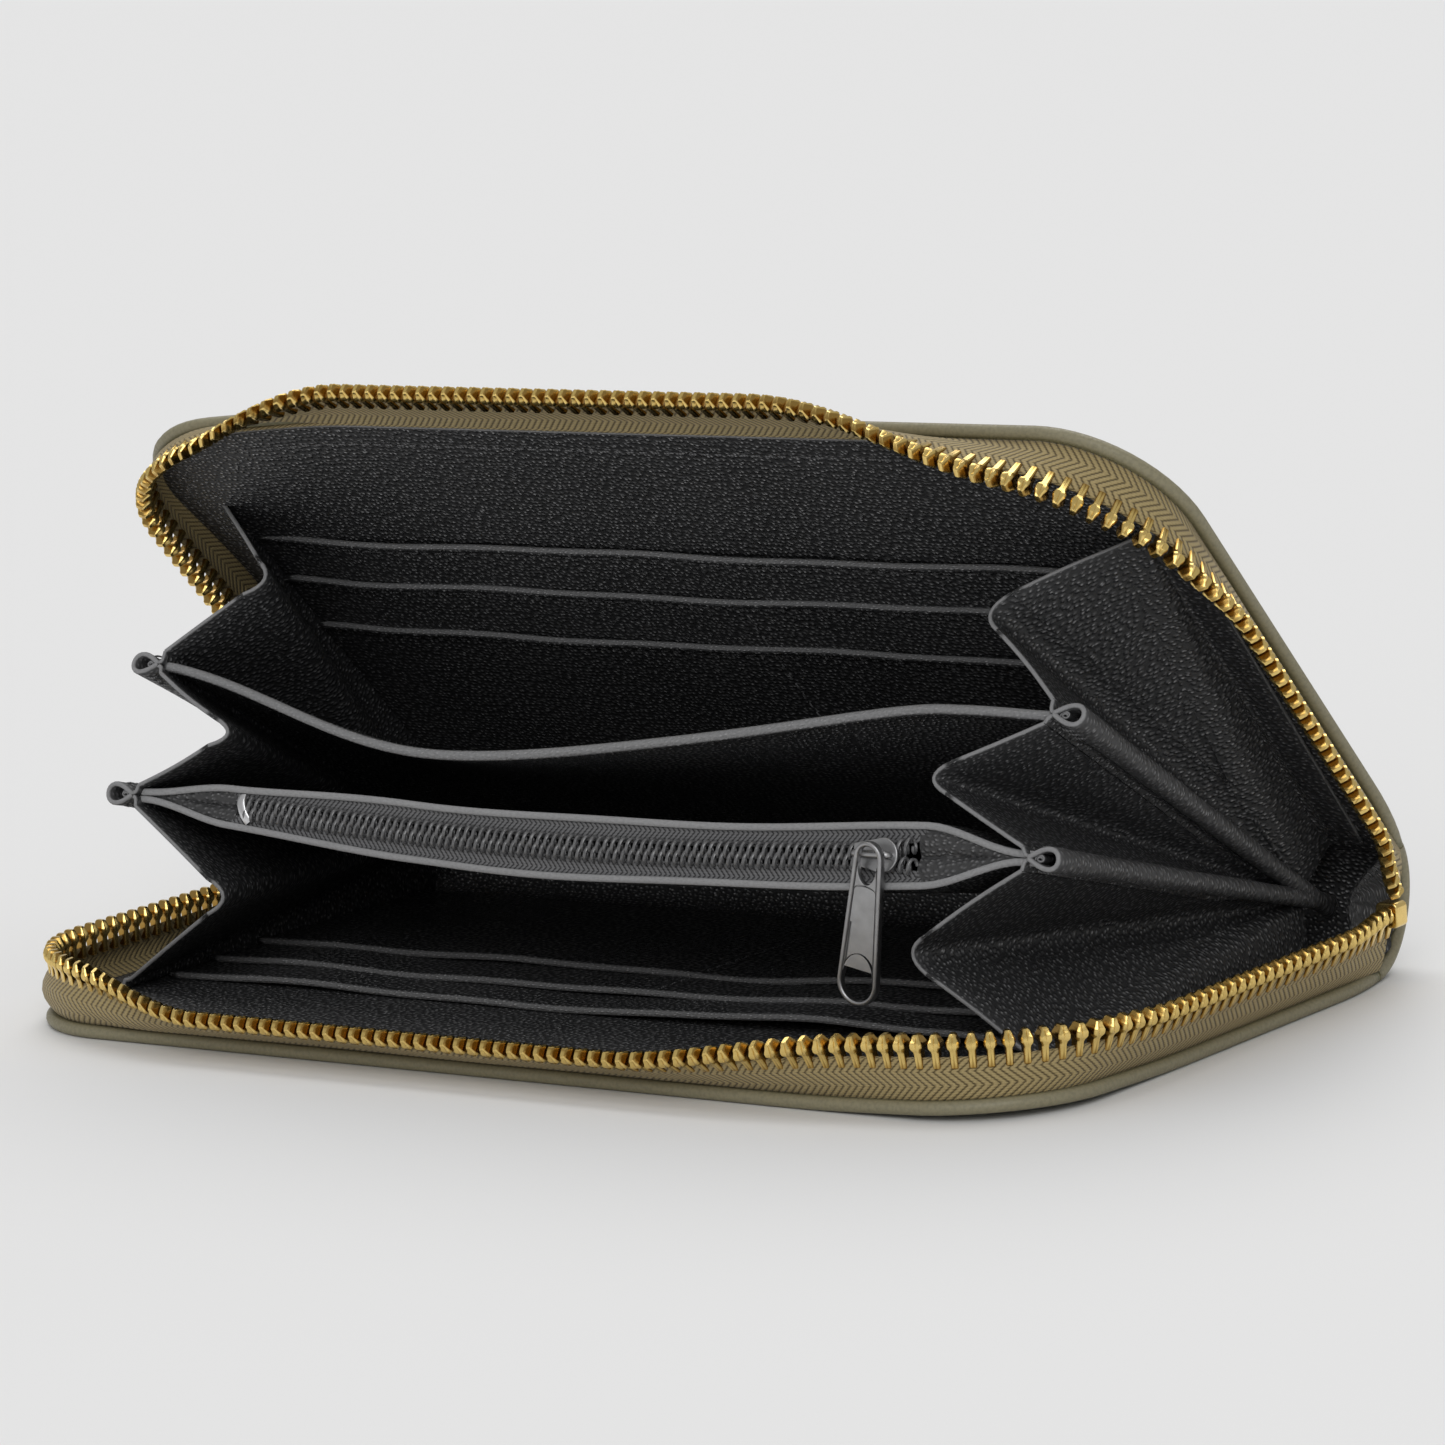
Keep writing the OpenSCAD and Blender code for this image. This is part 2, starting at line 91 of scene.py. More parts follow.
CORNER_R = 20.0
EDGE_T = 2.05
LINING_Z = -10.0
LINING_T = 0.7
LINING_INSET = 2.3
SEAM_INSET = 6.3
POCKET_Z = LINING_Z + LINING_T
POCKET_T = 0.5
POCKET_HALF_W = mm_box("lower_slip_pocket")[1][0]
POCKET_EDGES = [67.0, 57.2, 46.0]
POCKET_ROOT = 6.0
INNER_Z = POCKET_Z + 3 * POCKET_T

TAPE_INSET = 1.85
TAPE_T = 0.5
TAPE_FOOT_Z = -9.9
TAPE_EDGE_Z = -3.2
TOOTH_PITCH = 2.5
TOOTH_START = 0.6

APEX_X = 84.2
RIDGE_X = 86.9
RIDGE_LEN = 76.0
VALLEY_LEN = 78.0
COIN_Z = -2.2
BILL_Z = 2.8
PANEL_SECTORS = [20.0, 17.5, 18.0]
PANEL_T = 0.7
DIVIDER_D = 75.4


def lift(z):
    return math.degrees(math.atan(z / RIDGE_LEN))


RIDGE_ANGLES = [
    lift(INNER_Z),
    COIN_SWING + lift(COIN_Z),
    BILL_SWING + lift(BILL_Z),
    OPEN_ANGLE - lift(INNER_Z),
]

# ---- Placing ----


def swing(points, angle, flip=False):
    """Hinge coordinates to the row frame, in millimetres."""
    p = np.array(points, float)
    y = p[..., 1].copy()
    z = -p[..., 2] if flip else p[..., 2].copy()
    a = math.radians(angle)
    p[..., 1] = HINGE[1] + y * math.cos(a) + z * math.sin(a)
    p[..., 2] = HINGE[2] - y * math.sin(a) + z * math.cos(a)
    return p


def lower(points):
    return swing(points, 0)


def upper(points):
    return swing(points, OPEN_ANGLE, True)


HALVES = {"lower": lower, "upper": upper}


def facing(place):
    """Where the Z axis points once a sheet is placed."""
    return place((0, 0, 1.0)) - place((0, 0, 0.0))


def turn_about(points, origin, axis, angles):
    """Turns each point by its own angle, in degrees, about one axis."""
    p = np.array(points, float) - origin
    axis = np.array(axis, float) / np.linalg.norm(axis)
    a = np.radians(np.broadcast_to(angles, p.shape[:-1]))[..., None]
    along = (p @ axis)[..., None] * axis
    return origin + p * np.cos(a) + np.cross(axis, p) * np.sin(a) + along * (1 - np.cos(a))


def unit(v):
    v = np.asarray(v, float)
    return v / np.linalg.norm(v, axis=-1, keepdims=True)


def smooth(t):
    t = np.clip(t, 0, 1)
    return t * t * (3 - 2 * t)


def resample(line, count):
    """The polyline's points, count of them, evenly spaced along it."""
    line = np.asarray(line, float)
    run = np.r_[0, np.cumsum(np.linalg.norm(np.diff(line, axis=0), axis=1))]
    at = np.linspace(0, run[-1], count)
    return np.stack([np.interp(at, run, line[:, k]) for k in range(line.shape[1])], 1)


def chaikin(points, rounds=2):
    """Rounds the corners of a polyline along axis 0, keeping both ends."""
    p = np.asarray(points, float)
    for _ in range(rounds):
        cut = np.empty((2 * (len(p) - 1), *p.shape[1:]))
        cut[0::2] = 0.75 * p[:-1] + 0.25 * p[1:]
        cut[1::2] = 0.25 * p[:-1] + 0.75 * p[1:]
        cut[0], cut[-1] = p[0], p[-1]
        p = cut
    return p


# ---- Mesh making ----


class Shape:
    """Collects the points and faces of one piece. UVs are in millimetres. edge is 1 on cut edges; on
    some folded edges it lays on a painted highlight, and on the teeth it is low where painted shade
    darkens the hollows.
    """

    def __init__(self):
        self.points, self.faces, self.uvs, self.edge = [], [], [], []
        self.count = 0

    def add(self, points, faces, uvs=None, edge=0.0):
        points = np.asarray(points, float).reshape(-1, 3)
        self.points.append(points)
        self.edge.append(np.broadcast_to(np.asarray(edge, float), len(points)))
        for k, face in enumerate(faces):
            self.faces.append([int(i) + self.count for i in face])
            self.uvs.extend(uvs[k] if uvs is not None else [points[i][:2] for i in face])
        self.count += len(points)

    def mesh(self, name, sharp=60.0):
        mesh = bpy.data.meshes.new(name)
        mesh.from_pydata((np.concatenate(self.points) * MM).tolist(), [], self.faces)
        layer = mesh.uv_layers.new(name="UVMap")
        layer.data.foreach_set("uv", np.asarray(self.uvs, np.float32).ravel())
        edge = mesh.attributes.new("edge", "FLOAT", "POINT")
        edge.data.foreach_set("value", np.concatenate(self.edge).astype(np.float32))
        bm = bmesh.new()
        bm.from_mesh(mesh)
        bmesh.ops.recalc_face_normals(bm, faces=bm.faces)
        bm.to_mesh(mesh)
        bm.free()
        return shaded(mesh, sharp)


def piece(name, shape, material, body=None, slot=None, replaces=(), sharp=60.0):
    """One object of the wallet, which rides on a body if one is given."""
    mesh = shape if isinstance(shape, bpy.types.Mesh) else shape.mesh(name, sharp)
    obj = add_object(name, mesh)
    mesh.materials.clear()
    mesh.materials.append(material)
    if body:
        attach(obj, body)
    if replaces:
        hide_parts(*replaces)
    return obj


def blended(obj, a, b, start, end):
    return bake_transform(obj)


def add_object(name, data):
    obj = bpy.data.objects.new(name, data)
    bpy.context.scene.collection.objects.link(obj)
    return obj


def shaded(mesh, sharp):
    """Smooth shading, but for edges sharper than an angle in degrees."""
    mesh.shade_smooth()
    mesh.set_sharp_from_angle(angle=math.radians(sharp))
    return mesh


def paired(u, v):
    return np.stack(np.broadcast_arrays(u, v), -1)


def run_lengths(grid, axis):
    step = np.linalg.norm(np.diff(grid, axis=axis), axis=-1)
    pad = [(0, 0), (0, 0)]
    pad[axis] = (1, 0)
    return np.pad(np.cumsum(step, axis=axis), pad)


def grid_faces(rows, cols, wrap=False):
    """Faces over a grid of points. wrap joins the last column to the first."""
    i, j = np.divmod(np.arange((rows - 1) * (cols - 1 + wrap)), cols - 1 + wrap)
    j2 = (j + 1) % cols
    corners = [i * cols + j, (i + 1) * cols + j, (i + 1) * cols + j2, i * cols + j2]
    return np.stack(corners, 1)


ALL_SIDES = (1.0, 1.0, 1.0, 1.0)
NO_SIDE = (0, 0, 0, 0)
RIM_UV_STEP = 0.5


def slab(shape, mid, t, uv=None, round_sides=ALL_SIDES, raw_and_glint=ALL_SIDES, rim=4):
    """A sheet of thickness t about the grid mid, closed by a rim.

    The four sides are the first row, the last column, the last row and the first column.
    round_sides says how far each side's rim bulges, and the next list how much each side takes the
    pale cut-edge colour: the real colour of a cut edge, and a painted highlight where the side is a
    fold.
    """
    mid = np.asarray(mid, float)
    rows, cols = mid.shape[:2]
    t = np.broadcast_to(t, (rows, cols))
    normal = unit(np.cross(np.gradient(mid, axis=0), np.gradient(mid, axis=1)))
    half = normal * t[..., None] / 2
    if uv is None:
        uv = np.stack([run_lengths(mid, 1), run_lengths(mid, 0)], -1)
    faces = grid_faces(rows, cols)
    flat_uv = uv.reshape(-1, 2)

    first = [(i, 0) for i in range(rows - 1)]
    last_row = [(rows - 1, j) for j in range(cols - 1)]
    last_col = [(i, cols - 1) for i in range(rows - 1, 0, -1)]
    first_row = [(0, j) for j in range(cols - 1, 0, -1)]
    loop = np.array(first + last_row + last_col + first_row)
    side = np.array(
        [3] * len(first) + [2] * len(last_row) + [1] * len(last_col) + [0] * len(first_row)
    )
    bulge = np.array(round_sides)[side]
    cut = np.array(raw_and_glint)[side]
    corner = side != np.roll(side, 1)
    before = np.roll(bulge, 1)
    opens = corner & (before == 0) & (bulge > 0)
    closes = corner & (before > 0) & (bulge == 0)
    bulge = np.where(closes, before, np.where(corner & ~opens, np.minimum(bulge, before), bulge))
    at = mid[loop[:, 0], loop[:, 1]]
    n_at = normal[loop[:, 0], loop[:, 1]]
    half_t = t[loop[:, 0], loop[:, 1]][:, None] / 2
    ahead, behind = np.roll(at, -1, 0), np.roll(at, 1, 0)
    ahead[closes] = at[closes]
    behind[opens] = at[opens]
    out = unit(np.cross(unit(ahead - behind), n_at))
    base = np.concatenate([mid + half, mid - half]).reshape(-1, 3)
    rings = [
        at + out * half_t * bulge[:, None] * math.sin(a) + n_at * half_t * math.cos(a)
        for a in np.pi * np.arange(1, rim) / rim
    ]
    count = len(loop)
    plane = rows * cols
    index = loop[:, 0] * cols + loop[:, 1]
    between = [2 * plane + k * count + np.arange(count) for k in range(rim - 1)]
    all_rings = [index, *between, plane + index]
    run = np.r_[0, np.cumsum(np.linalg.norm(np.diff(at, axis=0), axis=1))]
    rim_faces, rim_uvs = [], []
    for k in range(rim):
        for m in range(count):
            m2 = (m + 1) % count
            here, there = all_rings[k], all_rings[k + 1]
            rim_faces.append([here[m], there[m], there[m2], here[m2]])
            u0 = run[m]
            u1 = run[m2] if m2 else run[m] + 1.0
            v0, v1 = k * RIM_UV_STEP, (k + 1) * RIM_UV_STEP
            rim_uvs.append([(u0, v0), (u0, v1), (u1, v1), (u1, v0)])
    edge = np.zeros(2 * plane + len(rings) * count)
    edge[index] = 0.5 * cut
    edge[plane + index] = 0.5 * cut
    for ring in between:
        edge[ring] = cut
    bottom = [f[::-1] + plane for f in faces]
    uvs = [flat_uv[f] for f in faces] + [flat_uv[f[::-1]] for f in faces] + rim_uvs
    shape.add(np.concatenate([base, *rings]), [*faces, *bottom, *rim_faces], uvs, edge)


def sheet(name, material, mid, t, uv=None, round_sides=ALL_SIDES, raw_and_glint=ALL_SIDES, rim=4, **where):
    """One object made of one slab. where gives its body, its slot and what it replaces; the slot is
    not used.
    """
    shape = Shape()
    slab(shape, mid, t, uv, round_sides, raw_and_glint, rim)
    return piece(name, shape, material, **where)


def path_frames(path, up):
    """Side and up vectors along a path, carried along without twist."""
    tangent = unit(np.gradient(path, axis=0))
    ups = np.empty_like(path)
    u = np.asarray(up, float)
    for k, d in enumerate(tangent):
        u = unit(u - d * (u @ d))
        ups[k] = u
    return np.cross(ups, tangent), ups


def tube(shape, path, radius, up, sides=8, edge=0.0, profile=None):
    """A rod along a path. profile replaces the circle."""
    path = np.asarray(path, float)
    across, ups = path_frames(path, up)
    radius = np.broadcast_to(radius, len(path))[:, None]
    if profile is None:
        a = 2 * np.pi * np.arange(sides) / sides
        profile = np.stack([np.cos(a), np.sin(a)], 1)
    k = len(profile)
    ring = [path + radius * (across * c + ups * s) for c, s in profile]
    grid = np.stack(ring, 1)
    faces = grid_faces(len(path), k, wrap=True)
    u = np.r_[0, np.cumsum(np.linalg.norm(np.diff(path, axis=0), axis=1))]
    v = np.arange(k + 1) * float(radius.mean()) * 2 * np.pi / k
    uvs = []
    for f in faces:
        i, j = f[0] // k, f[0] % k
        uvs.append([(u[i], v[j]), (u[i + 1], v[j]), (u[i + 1], v[j + 1]), (u[i], v[j + 1])])
    caps = [list(range(k))[::-1], [(len(path) - 1) * k + m for m in range(k)]]
    uvs += [[(0, 0)] * k] * 2
    shape.add(grid.reshape(-1, 3), list(faces) + caps, uvs, edge)


def instances(shape, points, faces, frames):
    """Copies of one small solid. frames are (origin, x axis, y axis, z axis)."""
    uvs = [[points[i][:2] for i in f] for f in faces]
    for origin, x, y, z in frames:
        shape.add(origin + points @ np.stack([x, y, z]), faces, uvs)


def lofted(sections):
    """Points and faces of a closed solid through rings of equally many points."""
    rings = np.asarray(sections, float)
    rows, cols = rings.shape[:2]
    faces = [list(f) for f in grid_faces(rows, cols, wrap=True)]
    faces.append(list(range(cols))[::-1])
    faces.append([(rows - 1) * cols + j for j in range(cols)])
    return rings.reshape(-1, 3), faces


STITCH_LEN = 1.75
STITCH_PITCH = 2.35
STITCH_R = 0.17


def stitch_solid(length=STITCH_LEN, r=STITCH_R):
    stations = [(-0.5, 0.35, -1.1), (-0.36, 0.9, -0.1), (0, 1.0, 0.35), (0.36, 0.9, -0.1),
                (0.5, 0.35, -1.1)]
    a = 2 * np.pi * np.arange(6) / 6
    rings = [
        np.stack([np.full(6, x * length), r * s * np.cos(a), r * (s * np.sin(a) * 0.8 + z)], 1)
        for x, s, z in stations
    ]
    return lofted(rings)


def stitches(name, line, normal, body, material, slot="inner_leather"):
    """A row of single stitches along a polyline that lies on a surface."""
    line = np.asarray(line, float)
    run = np.linalg.norm(np.diff(line, axis=0), axis=1).sum()
    count = max(int(run / STITCH_PITCH), 1)
    dense = resample(line, 2 * count + 1)
    origins = dense[1::2]
    along = unit(dense[2::2] - dense[:-1:2])
    normal = np.broadcast_to(np.asarray(normal, float), origins.shape)
    up = unit(normal - along * (normal * along).sum(1, keepdims=True))
    shape = Shape()
    points, faces = stitch_solid()
    instances(shape, points, faces, zip(origins, along, np.cross(up, along), up))
    return piece(name, shape, material, body, slot)


# ---- Materials ----


class Nodes:
    """A material's node tree, with short calls for the nodes used here."""

    def __init__(self, name):
        self.material = bpy.data.materials.new(name)
        self.material.use_nodes = True
        self.tree = self.material.node_tree
        self.shader = self.tree.nodes["Principled BSDF"]

    def put(self, socket, value):
        if isinstance(value, bpy.types.NodeSocket):
            self.tree.links.new(value, socket)
        else:
            socket.default_value = value

    def node(self, kind, inputs=None, **settings):
        made = self.tree.nodes.new(kind)
        for key, value in settings.items():
            setattr(made, key, value)
        for key, value in (inputs or {}).items():
            self.put(made.inputs[key], value)
        return made

    def math(self, operation, *values):
        made = self.node("ShaderNodeMath", operation=operation)
        for socket, value in zip(made.inputs, values):
            self.put(socket, value)
        return made.outputs[0]

    def span(self, value, low, high, to_low=0.0, to_high=1.0):
        """Maps low to high onto to_low to to_high, smoothly and clamped."""
        inputs = {"Value": value, "From Min": low, "From Max": high, "To Min": to_low,
                  "To Max": to_high}
        return self.node("ShaderNodeMapRange", inputs, interpolation_type="SMOOTHSTEP").outputs[0]

    def mix(self, share, first, second):
        made = self.node("ShaderNodeMix", data_type="RGBA")
        self.put(made.inputs[0], share)
        self.put(made.inputs[6], first)
        self.put(made.inputs[7], second)
        return made.outputs[2]

    def uv(self):
        return self.node("ShaderNodeUVMap", uv_map="UVMap").outputs[0]

    def solid(self):
        """The piece's own coordinates, in millimetres."""
        own = self.node("ShaderNodeTexCoord").outputs["Object"]
        scale = {"Vector": own, "Scale": (1 / MM, 1 / MM, 1 / MM)}
        return self.node("ShaderNodeMapping", scale).outputs[0]

    def stretch(self, vector, x, y, skew=0.0):
        """Scales a UV vector and leans its columns by skew."""
        parts = self.node("ShaderNodeSeparateXYZ", {"Vector": vector})
        u, v = parts.outputs[0], parts.outputs[1]
        u = self.math("ADD", self.math("MULTIPLY", u, x), self.math("MULTIPLY", v, skew))
        v = self.math("MULTIPLY", v, y)
        return self.node("ShaderNodeCombineXYZ", {"X": u, "Y": v}).outputs[0]

    def noise(self, vector, scale, detail=3.0, rough=0.55):
        inputs = {"Vector": vector, "Scale": scale, "Detail": detail, "Roughness": rough}
        return self.node("ShaderNodeTexNoise", inputs).outputs["Fac"]

    def cells(self, vector, scale, randomness=0.6):
        inputs = {"Vector": vector, "Scale": scale, "Randomness": randomness}
        return self.node("ShaderNodeTexVoronoi", inputs, voronoi_dimensions="2D").outputs[0]

    def edge(self):
        return self.node("ShaderNodeAttribute", attribute_name="edge").outputs["Fac"]

    def bump(self, height, depth_mm):
        inputs = {"Height": height, "Distance": depth_mm * MM, "Strength": 1.0}
        return self.node("ShaderNodeBump", inputs).outputs[0]

    def done(self, colour, roughness, normal=None, metallic=0.0, specular=0.5, sheen=0.0):
        wanted = {"Base Color": colour, "Roughness": roughness, "Metallic": metallic,
                  "Specular IOR Level": specular, "Sheen Weight": sheen, "Sheen Roughness": 0.5}
        if normal:
            wanted["Normal"] = normal
        for key, value in wanted.items():
            self.put(self.shader.inputs[key], value)
        return self.material


def rgb(red, green, blue):
    return (red, green, blue, 1.0)


def leather(name, dark, light, painted_lighting, cut, grain, depth, roughness, randomness=0.55, cut_rough=0.7,
            skew=0.45):
    """Leather with raised pebbles. grain is pebbles per millimetre along and across."""
    n = Nodes(name)
    uv = n.uv()
    drift = n.noise(uv, 0.035, 2.0)
    wander = n.node("ShaderNodeTexNoise", {"Vector": uv, "Scale": 0.3, "Detail": 1.0})
    both = {0: uv, 1: wander.outputs["Color"]}
    warp = n.node("ShaderNodeVectorMath", both, operation="ADD").outputs[0]
    pebble = n.cells(n.stretch(warp, grain[0], grain[1], skew), 1.0, randomness)
    top = n.span(pebble, 0.12, 0.55, 1.0, 0.0)
    # glint marks the small pebble tops, where a painted highlight is laid into the colour, spread
    # unevenly by noise
    glint_spread = n.span(n.noise(uv, 0.9, 1.0), 0.42, 0.62, 0.25, 1.0)
    glint = n.math("MULTIPLY", n.span(pebble, 0.08, 0.27, 1.0, 0.0), glint_spread)
    pores = n.noise(uv, 5.0, 2.0)
    edge = n.edge()
    keep = n.math("SUBTRACT", 1.0, edge)
    height = n.math("MULTIPLY", n.math("MULTIPLY", top, n.span(drift, 0.25, 0.7, 0.72, 1.0)), keep)
    height = n.math("ADD", height, n.math("MULTIPLY", pores, 0.22))
    tone = n.math("ADD", n.math("MULTIPLY", top, 0.55), n.math("MULTIPLY", drift, 0.45))
    colour = n.mix(tone, rgb(*dark), rgb(*light))
    # Paints the highlight on the pebble tops in the fourth, lightest colour
    colour = n.mix(n.math("MULTIPLY", glint, 0.8), colour, rgb(*painted_lighting))
    fibre = n.span(n.noise(uv, 1.6, 3.0), 0.3, 0.7, 0.55, 1.15)
    raw_and_glint = n.mix(fibre, rgb(*(c * 0.6 for c in cut)), rgb(*cut))
    # Cut edges take the pale cut colour; on folded pocket and divider edges the same colour is a
    # painted highlight
    colour = n.mix(n.span(edge, 0.3, 0.9), colour, raw_and_glint)
    shine = n.span(top, 0.1, 0.9, roughness[1], roughness[0])
    rough = n.math("ADD", shine, n.math("MULTIPLY", edge, cut_rough - roughness[0]))
    rough = n.math("ADD", rough, n.span(drift, 0.3, 0.7, -0.04, 0.05))
    return n.done(colour, rough, n.bump(height, depth))


def herringbone(name, dark, light, pitch=1.15, column=2.3, depth=0.22):
    """Woven tape. U runs along the tape and V across it."""
    n = Nodes(name)
    uv = n.uv()
    parts = n.node("ShaderNodeSeparateXYZ", {"Vector": uv})
    u, v = parts.outputs[0], parts.outputs[1]
    zigzag = n.math("PINGPONG", v, column)
    phase = n.math("MULTIPLY", n.math("ADD", u, zigzag), 2 * math.pi / pitch)
    rib = n.math("ABSOLUTE", n.math("SINE", n.math("MULTIPLY", phase, 0.5)))
    weft = n.math("ABSOLUTE", n.math("SINE", n.math("MULTIPLY", v, math.pi / 0.42)))
    thread = n.math("ADD", n.math("MULTIPLY", rib, 0.75), n.math("MULTIPLY", weft, 0.25))
    fluff = n.noise(uv, 3.5, 3.0)
    height = n.math("ADD", n.math("POWER", thread, 0.7), n.math("MULTIPLY", fluff, 0.15))
    tone = n.math("MULTIPLY", n.span(thread, 0.15, 0.85), n.span(fluff, 0.2, 0.8, 0.75, 1.05))
    colour = n.mix(tone, rgb(*dark), rgb(*light))
    return n.done(colour, 0.72, n.bump(height, depth), specular=0.3, sheen=0.15)


def metal(name, bright, dark, roughness, painted_lighting=False):
    """Polished metal. If the last flag is set, the surface is darker where edge is low: painted
    shade in crevices.
    """
    n = Nodes(name)
    at = n.solid()
    cloud = n.noise(at, 0.7, 3.0)
    fine = n.noise(at, 9.0, 3.0)
    share = n.span(cloud, 0.2, 0.8, 0.0, 0.25)
    if painted_lighting:
        # Painted shade: where edge is low, in the teeth's hollows and groove, the darker colour is
        # mixed in
        share = n.math("MAXIMUM", share, n.span(n.edge(), 0.15, 0.75, 1.0, 0.0))
    colour = n.mix(share, rgb(*bright), rgb(*dark))
    rough = n.math("ADD", n.span(cloud, 0.25, 0.75, roughness - 0.05, roughness + 0.05),
                   n.math("MULTIPLY", fine, 0.06))
    return n.done(colour, rough, n.bump(fine, 0.01), metallic=1.0)


def thread(name, dark, light):
    """Twisted sewing thread."""
    n = Nodes(name)
    at = n.solid()
    twist = n.node("ShaderNodeTexWave", {"Vector": at, "Scale": 1.1, "Distortion": 0.6},
                   bands_direction="DIAGONAL").outputs["Fac"]
    colour = n.mix(twist, rgb(*dark), rgb(*light))
    return n.done(colour, 0.5, n.bump(twist, 0.05), specular=0.45, sheen=0.1)


def nylon(name, dark, light):
    """Glossy thread of the coils."""
    n = Nodes(name)
    cloud = n.noise(n.solid(), 1.5, 2.0)
    colour = n.mix(cloud, rgb(*dark), rgb(*light))
    return n.done(colour, n.span(cloud, 0.2, 0.8, 0.2, 0.32), n.bump(cloud, 0.02), specular=0.9)


def fibre_board(name):
    """Grey-brown board with flecks."""
    n = Nodes(name)
    at = n.solid()
    flecks = n.noise(at, 1.8, 4.0, 0.7)
    colour = n.mix(flecks, rgb(0.22, 0.15, 0.08), rgb(0.46, 0.35, 0.22))
    return n.done(colour, 0.85, n.bump(flecks, 0.08))


# The fourth colour given to each leather is its painted highlight on the pebble tops
OLIVE = leather("olive_leather", (0.14, 0.128, 0.068), (0.19, 0.175, 0.098), (0.19, 0.175, 0.1),
                (0.25, 0.226, 0.142), (1.5, 1.6), 0.05, (0.42, 0.58), 0.9, 0.42, skew=0.0)
BLACK = leather("black_leather", (0.0125, 0.0128, 0.0135), (0.028, 0.0282, 0.03),
                (0.42, 0.42, 0.425), (0.3, 0.3, 0.305), (0.92, 1.22), 0.24, (0.27, 0.58), 0.6)
SOFT_BLACK = leather("soft_black_leather", (0.0135, 0.0138, 0.0145), (0.03, 0.0302, 0.032),
                     (0.26, 0.26, 0.265), (0.26, 0.26, 0.265), (0.85, 1.25), 0.18, (0.3, 0.55),
                     0.7)
KHAKI_TAPE = herringbone("khaki_tape", (0.1, 0.072, 0.026), (0.4, 0.31, 0.145))
CLOTH = herringbone("lining_cloth", (0.006, 0.006, 0.007), (0.03, 0.03, 0.032), 0.5, 40.0, 0.05)
BLACK_TAPE = herringbone("black_tape", (0.006, 0.006, 0.007), (0.17, 0.17, 0.175), 0.9, 1.6, 0.2)
PIPING = leather("piping_leather", (0.03, 0.03, 0.031), (0.07, 0.07, 0.072), (0.2, 0.2, 0.205),
                 (0.26, 0.26, 0.265), (0.95, 1.3), 0.16, (0.34, 0.58), 0.7)
# The brass of the teeth gets painted shade in its hollows; the slider brass has none
BRASS = metal("brass", (0.92, 0.68, 0.24), (0.34, 0.19, 0.04), 0.2, painted_lighting=True)
PLAIN_BRASS = metal("slider_brass", (0.9, 0.66, 0.24), (0.66, 0.44, 0.14), 0.2)
GUNMETAL = metal("gunmetal", (0.42, 0.42, 0.425), (0.24, 0.24, 0.245), 0.36)
STEEL = metal("silver_stop", (0.72, 0.72, 0.73), (0.45, 0.45, 0.46), 0.3)
COIL = nylon("coil_nylon", (0.06, 0.06, 0.062), (0.16, 0.16, 0.165))
THREAD = thread("black_thread", (0.035, 0.035, 0.037), (0.15, 0.15, 0.155))
OLIVE_THREAD = thread("olive_thread", (0.1, 0.085, 0.04), (0.3, 0.26, 0.15))
BOARD = fibre_board("fibre_board")

# ---- Covers, linings and card pockets ----

SIDE_NAMES = {1: "right", -1: "left"}
RIM_STEPS = (0.0, 0.8, 3.2)
SPINE_PULL = 1.3
COVER_PULL = 1.8
COVER_PULL_REACH = 14


def outline_depth(x, dist, inset):
    """How far a point of a cover lies inside the outline that is drawn in by inset."""
    r = CORNER_R - inset
    half_w = COVER_W / 2 - inset
    mouth = COVER_D - inset
    over_x = np.abs(x) - (half_w - r)
    over_y = dist - (mouth - r)
    plain = np.minimum(half_w - np.abs(x), mouth - dist)
    return np.where((over_x > 0) & (over_y > 0), r - np.hypot(over_x, over_y), plain)


def side_columns(half):
    """Places across a sheet that is half wide each way, closer together at its sides."""
    inner = np.linspace(8 - half, half - 8, 39)
    sides = np.array([half - s for s in RIM_STEPS])
    return np.r_[-sides, inner, sides[::-1]]


def cover_grid(inset, back):
    """Places over a cover's outline, and each one's distance from the fold axis."""
    r = CORNER_R - inset
    half_w = COVER_W / 2 - inset
    mouth = COVER_D - inset
    bend = mouth - r + r * np.sin(np.linspace(0, np.pi / 2, 15)[1:])
    dist = np.r_[np.linspace(back, mouth - r, 26), bend]
    past = np.clip(dist - (mouth - r), 0, r)
    half = half_w - r + np.sqrt(r * r - past * past)
    x = np.stack([side_columns(h) for h in half])
    near_spine = np.clip(1 - dist[:, None] / COVER_PULL_REACH, 0, 1)
    x *= 1 - 2 * COVER_PULL / COVER_W * near_spine ** 2
    return x, np.broadcast_to(dist[:, None], x.shape)


def curl(half, x, dist):
    """How far the soft corners of an open cover bend inwards."""
    reach = smooth((dist - 52) / 44)
    if half == "upper":
        return 3.6 * smooth((-x - 50) / 42) * reach
    return 1.2 * smooth((x - 55) / 42) * reach


def edge_thickness(depth):
    """Thickness of the outer leather, which is thicker where its edge is painted."""
    return LEATHER_T + (EDGE_T - LEATHER_T) * smooth((3.2 - depth) / 2.4)


ARC_START = -90.0
ARC_END = 90.0 - OPEN_ANGLE
ARC_LEN = SHUT_HALF * math.radians(ARC_END - ARC_START)


def make_cover(half):
    x, dist = cover_grid(EDGE_T / 2, 0)
    t = edge_thickness(outline_depth(x, dist, EDGE_T / 2))
    grid = np.stack([x, -dist, t / 2 - SHUT_HALF + curl(half, x, dist)], -1)
    v = -dist if half == "lower" else ARC_LEN + dist
    cover = f"{half}_cover"
    sheet(f"{cover}_leather", OLIVE, HALVES[half](grid), t, paired(x, v), (0, 1, 1, 1),
          (0, 1, 1, 1), 6, body=cover, slot="outer_leather", replaces=[cover])


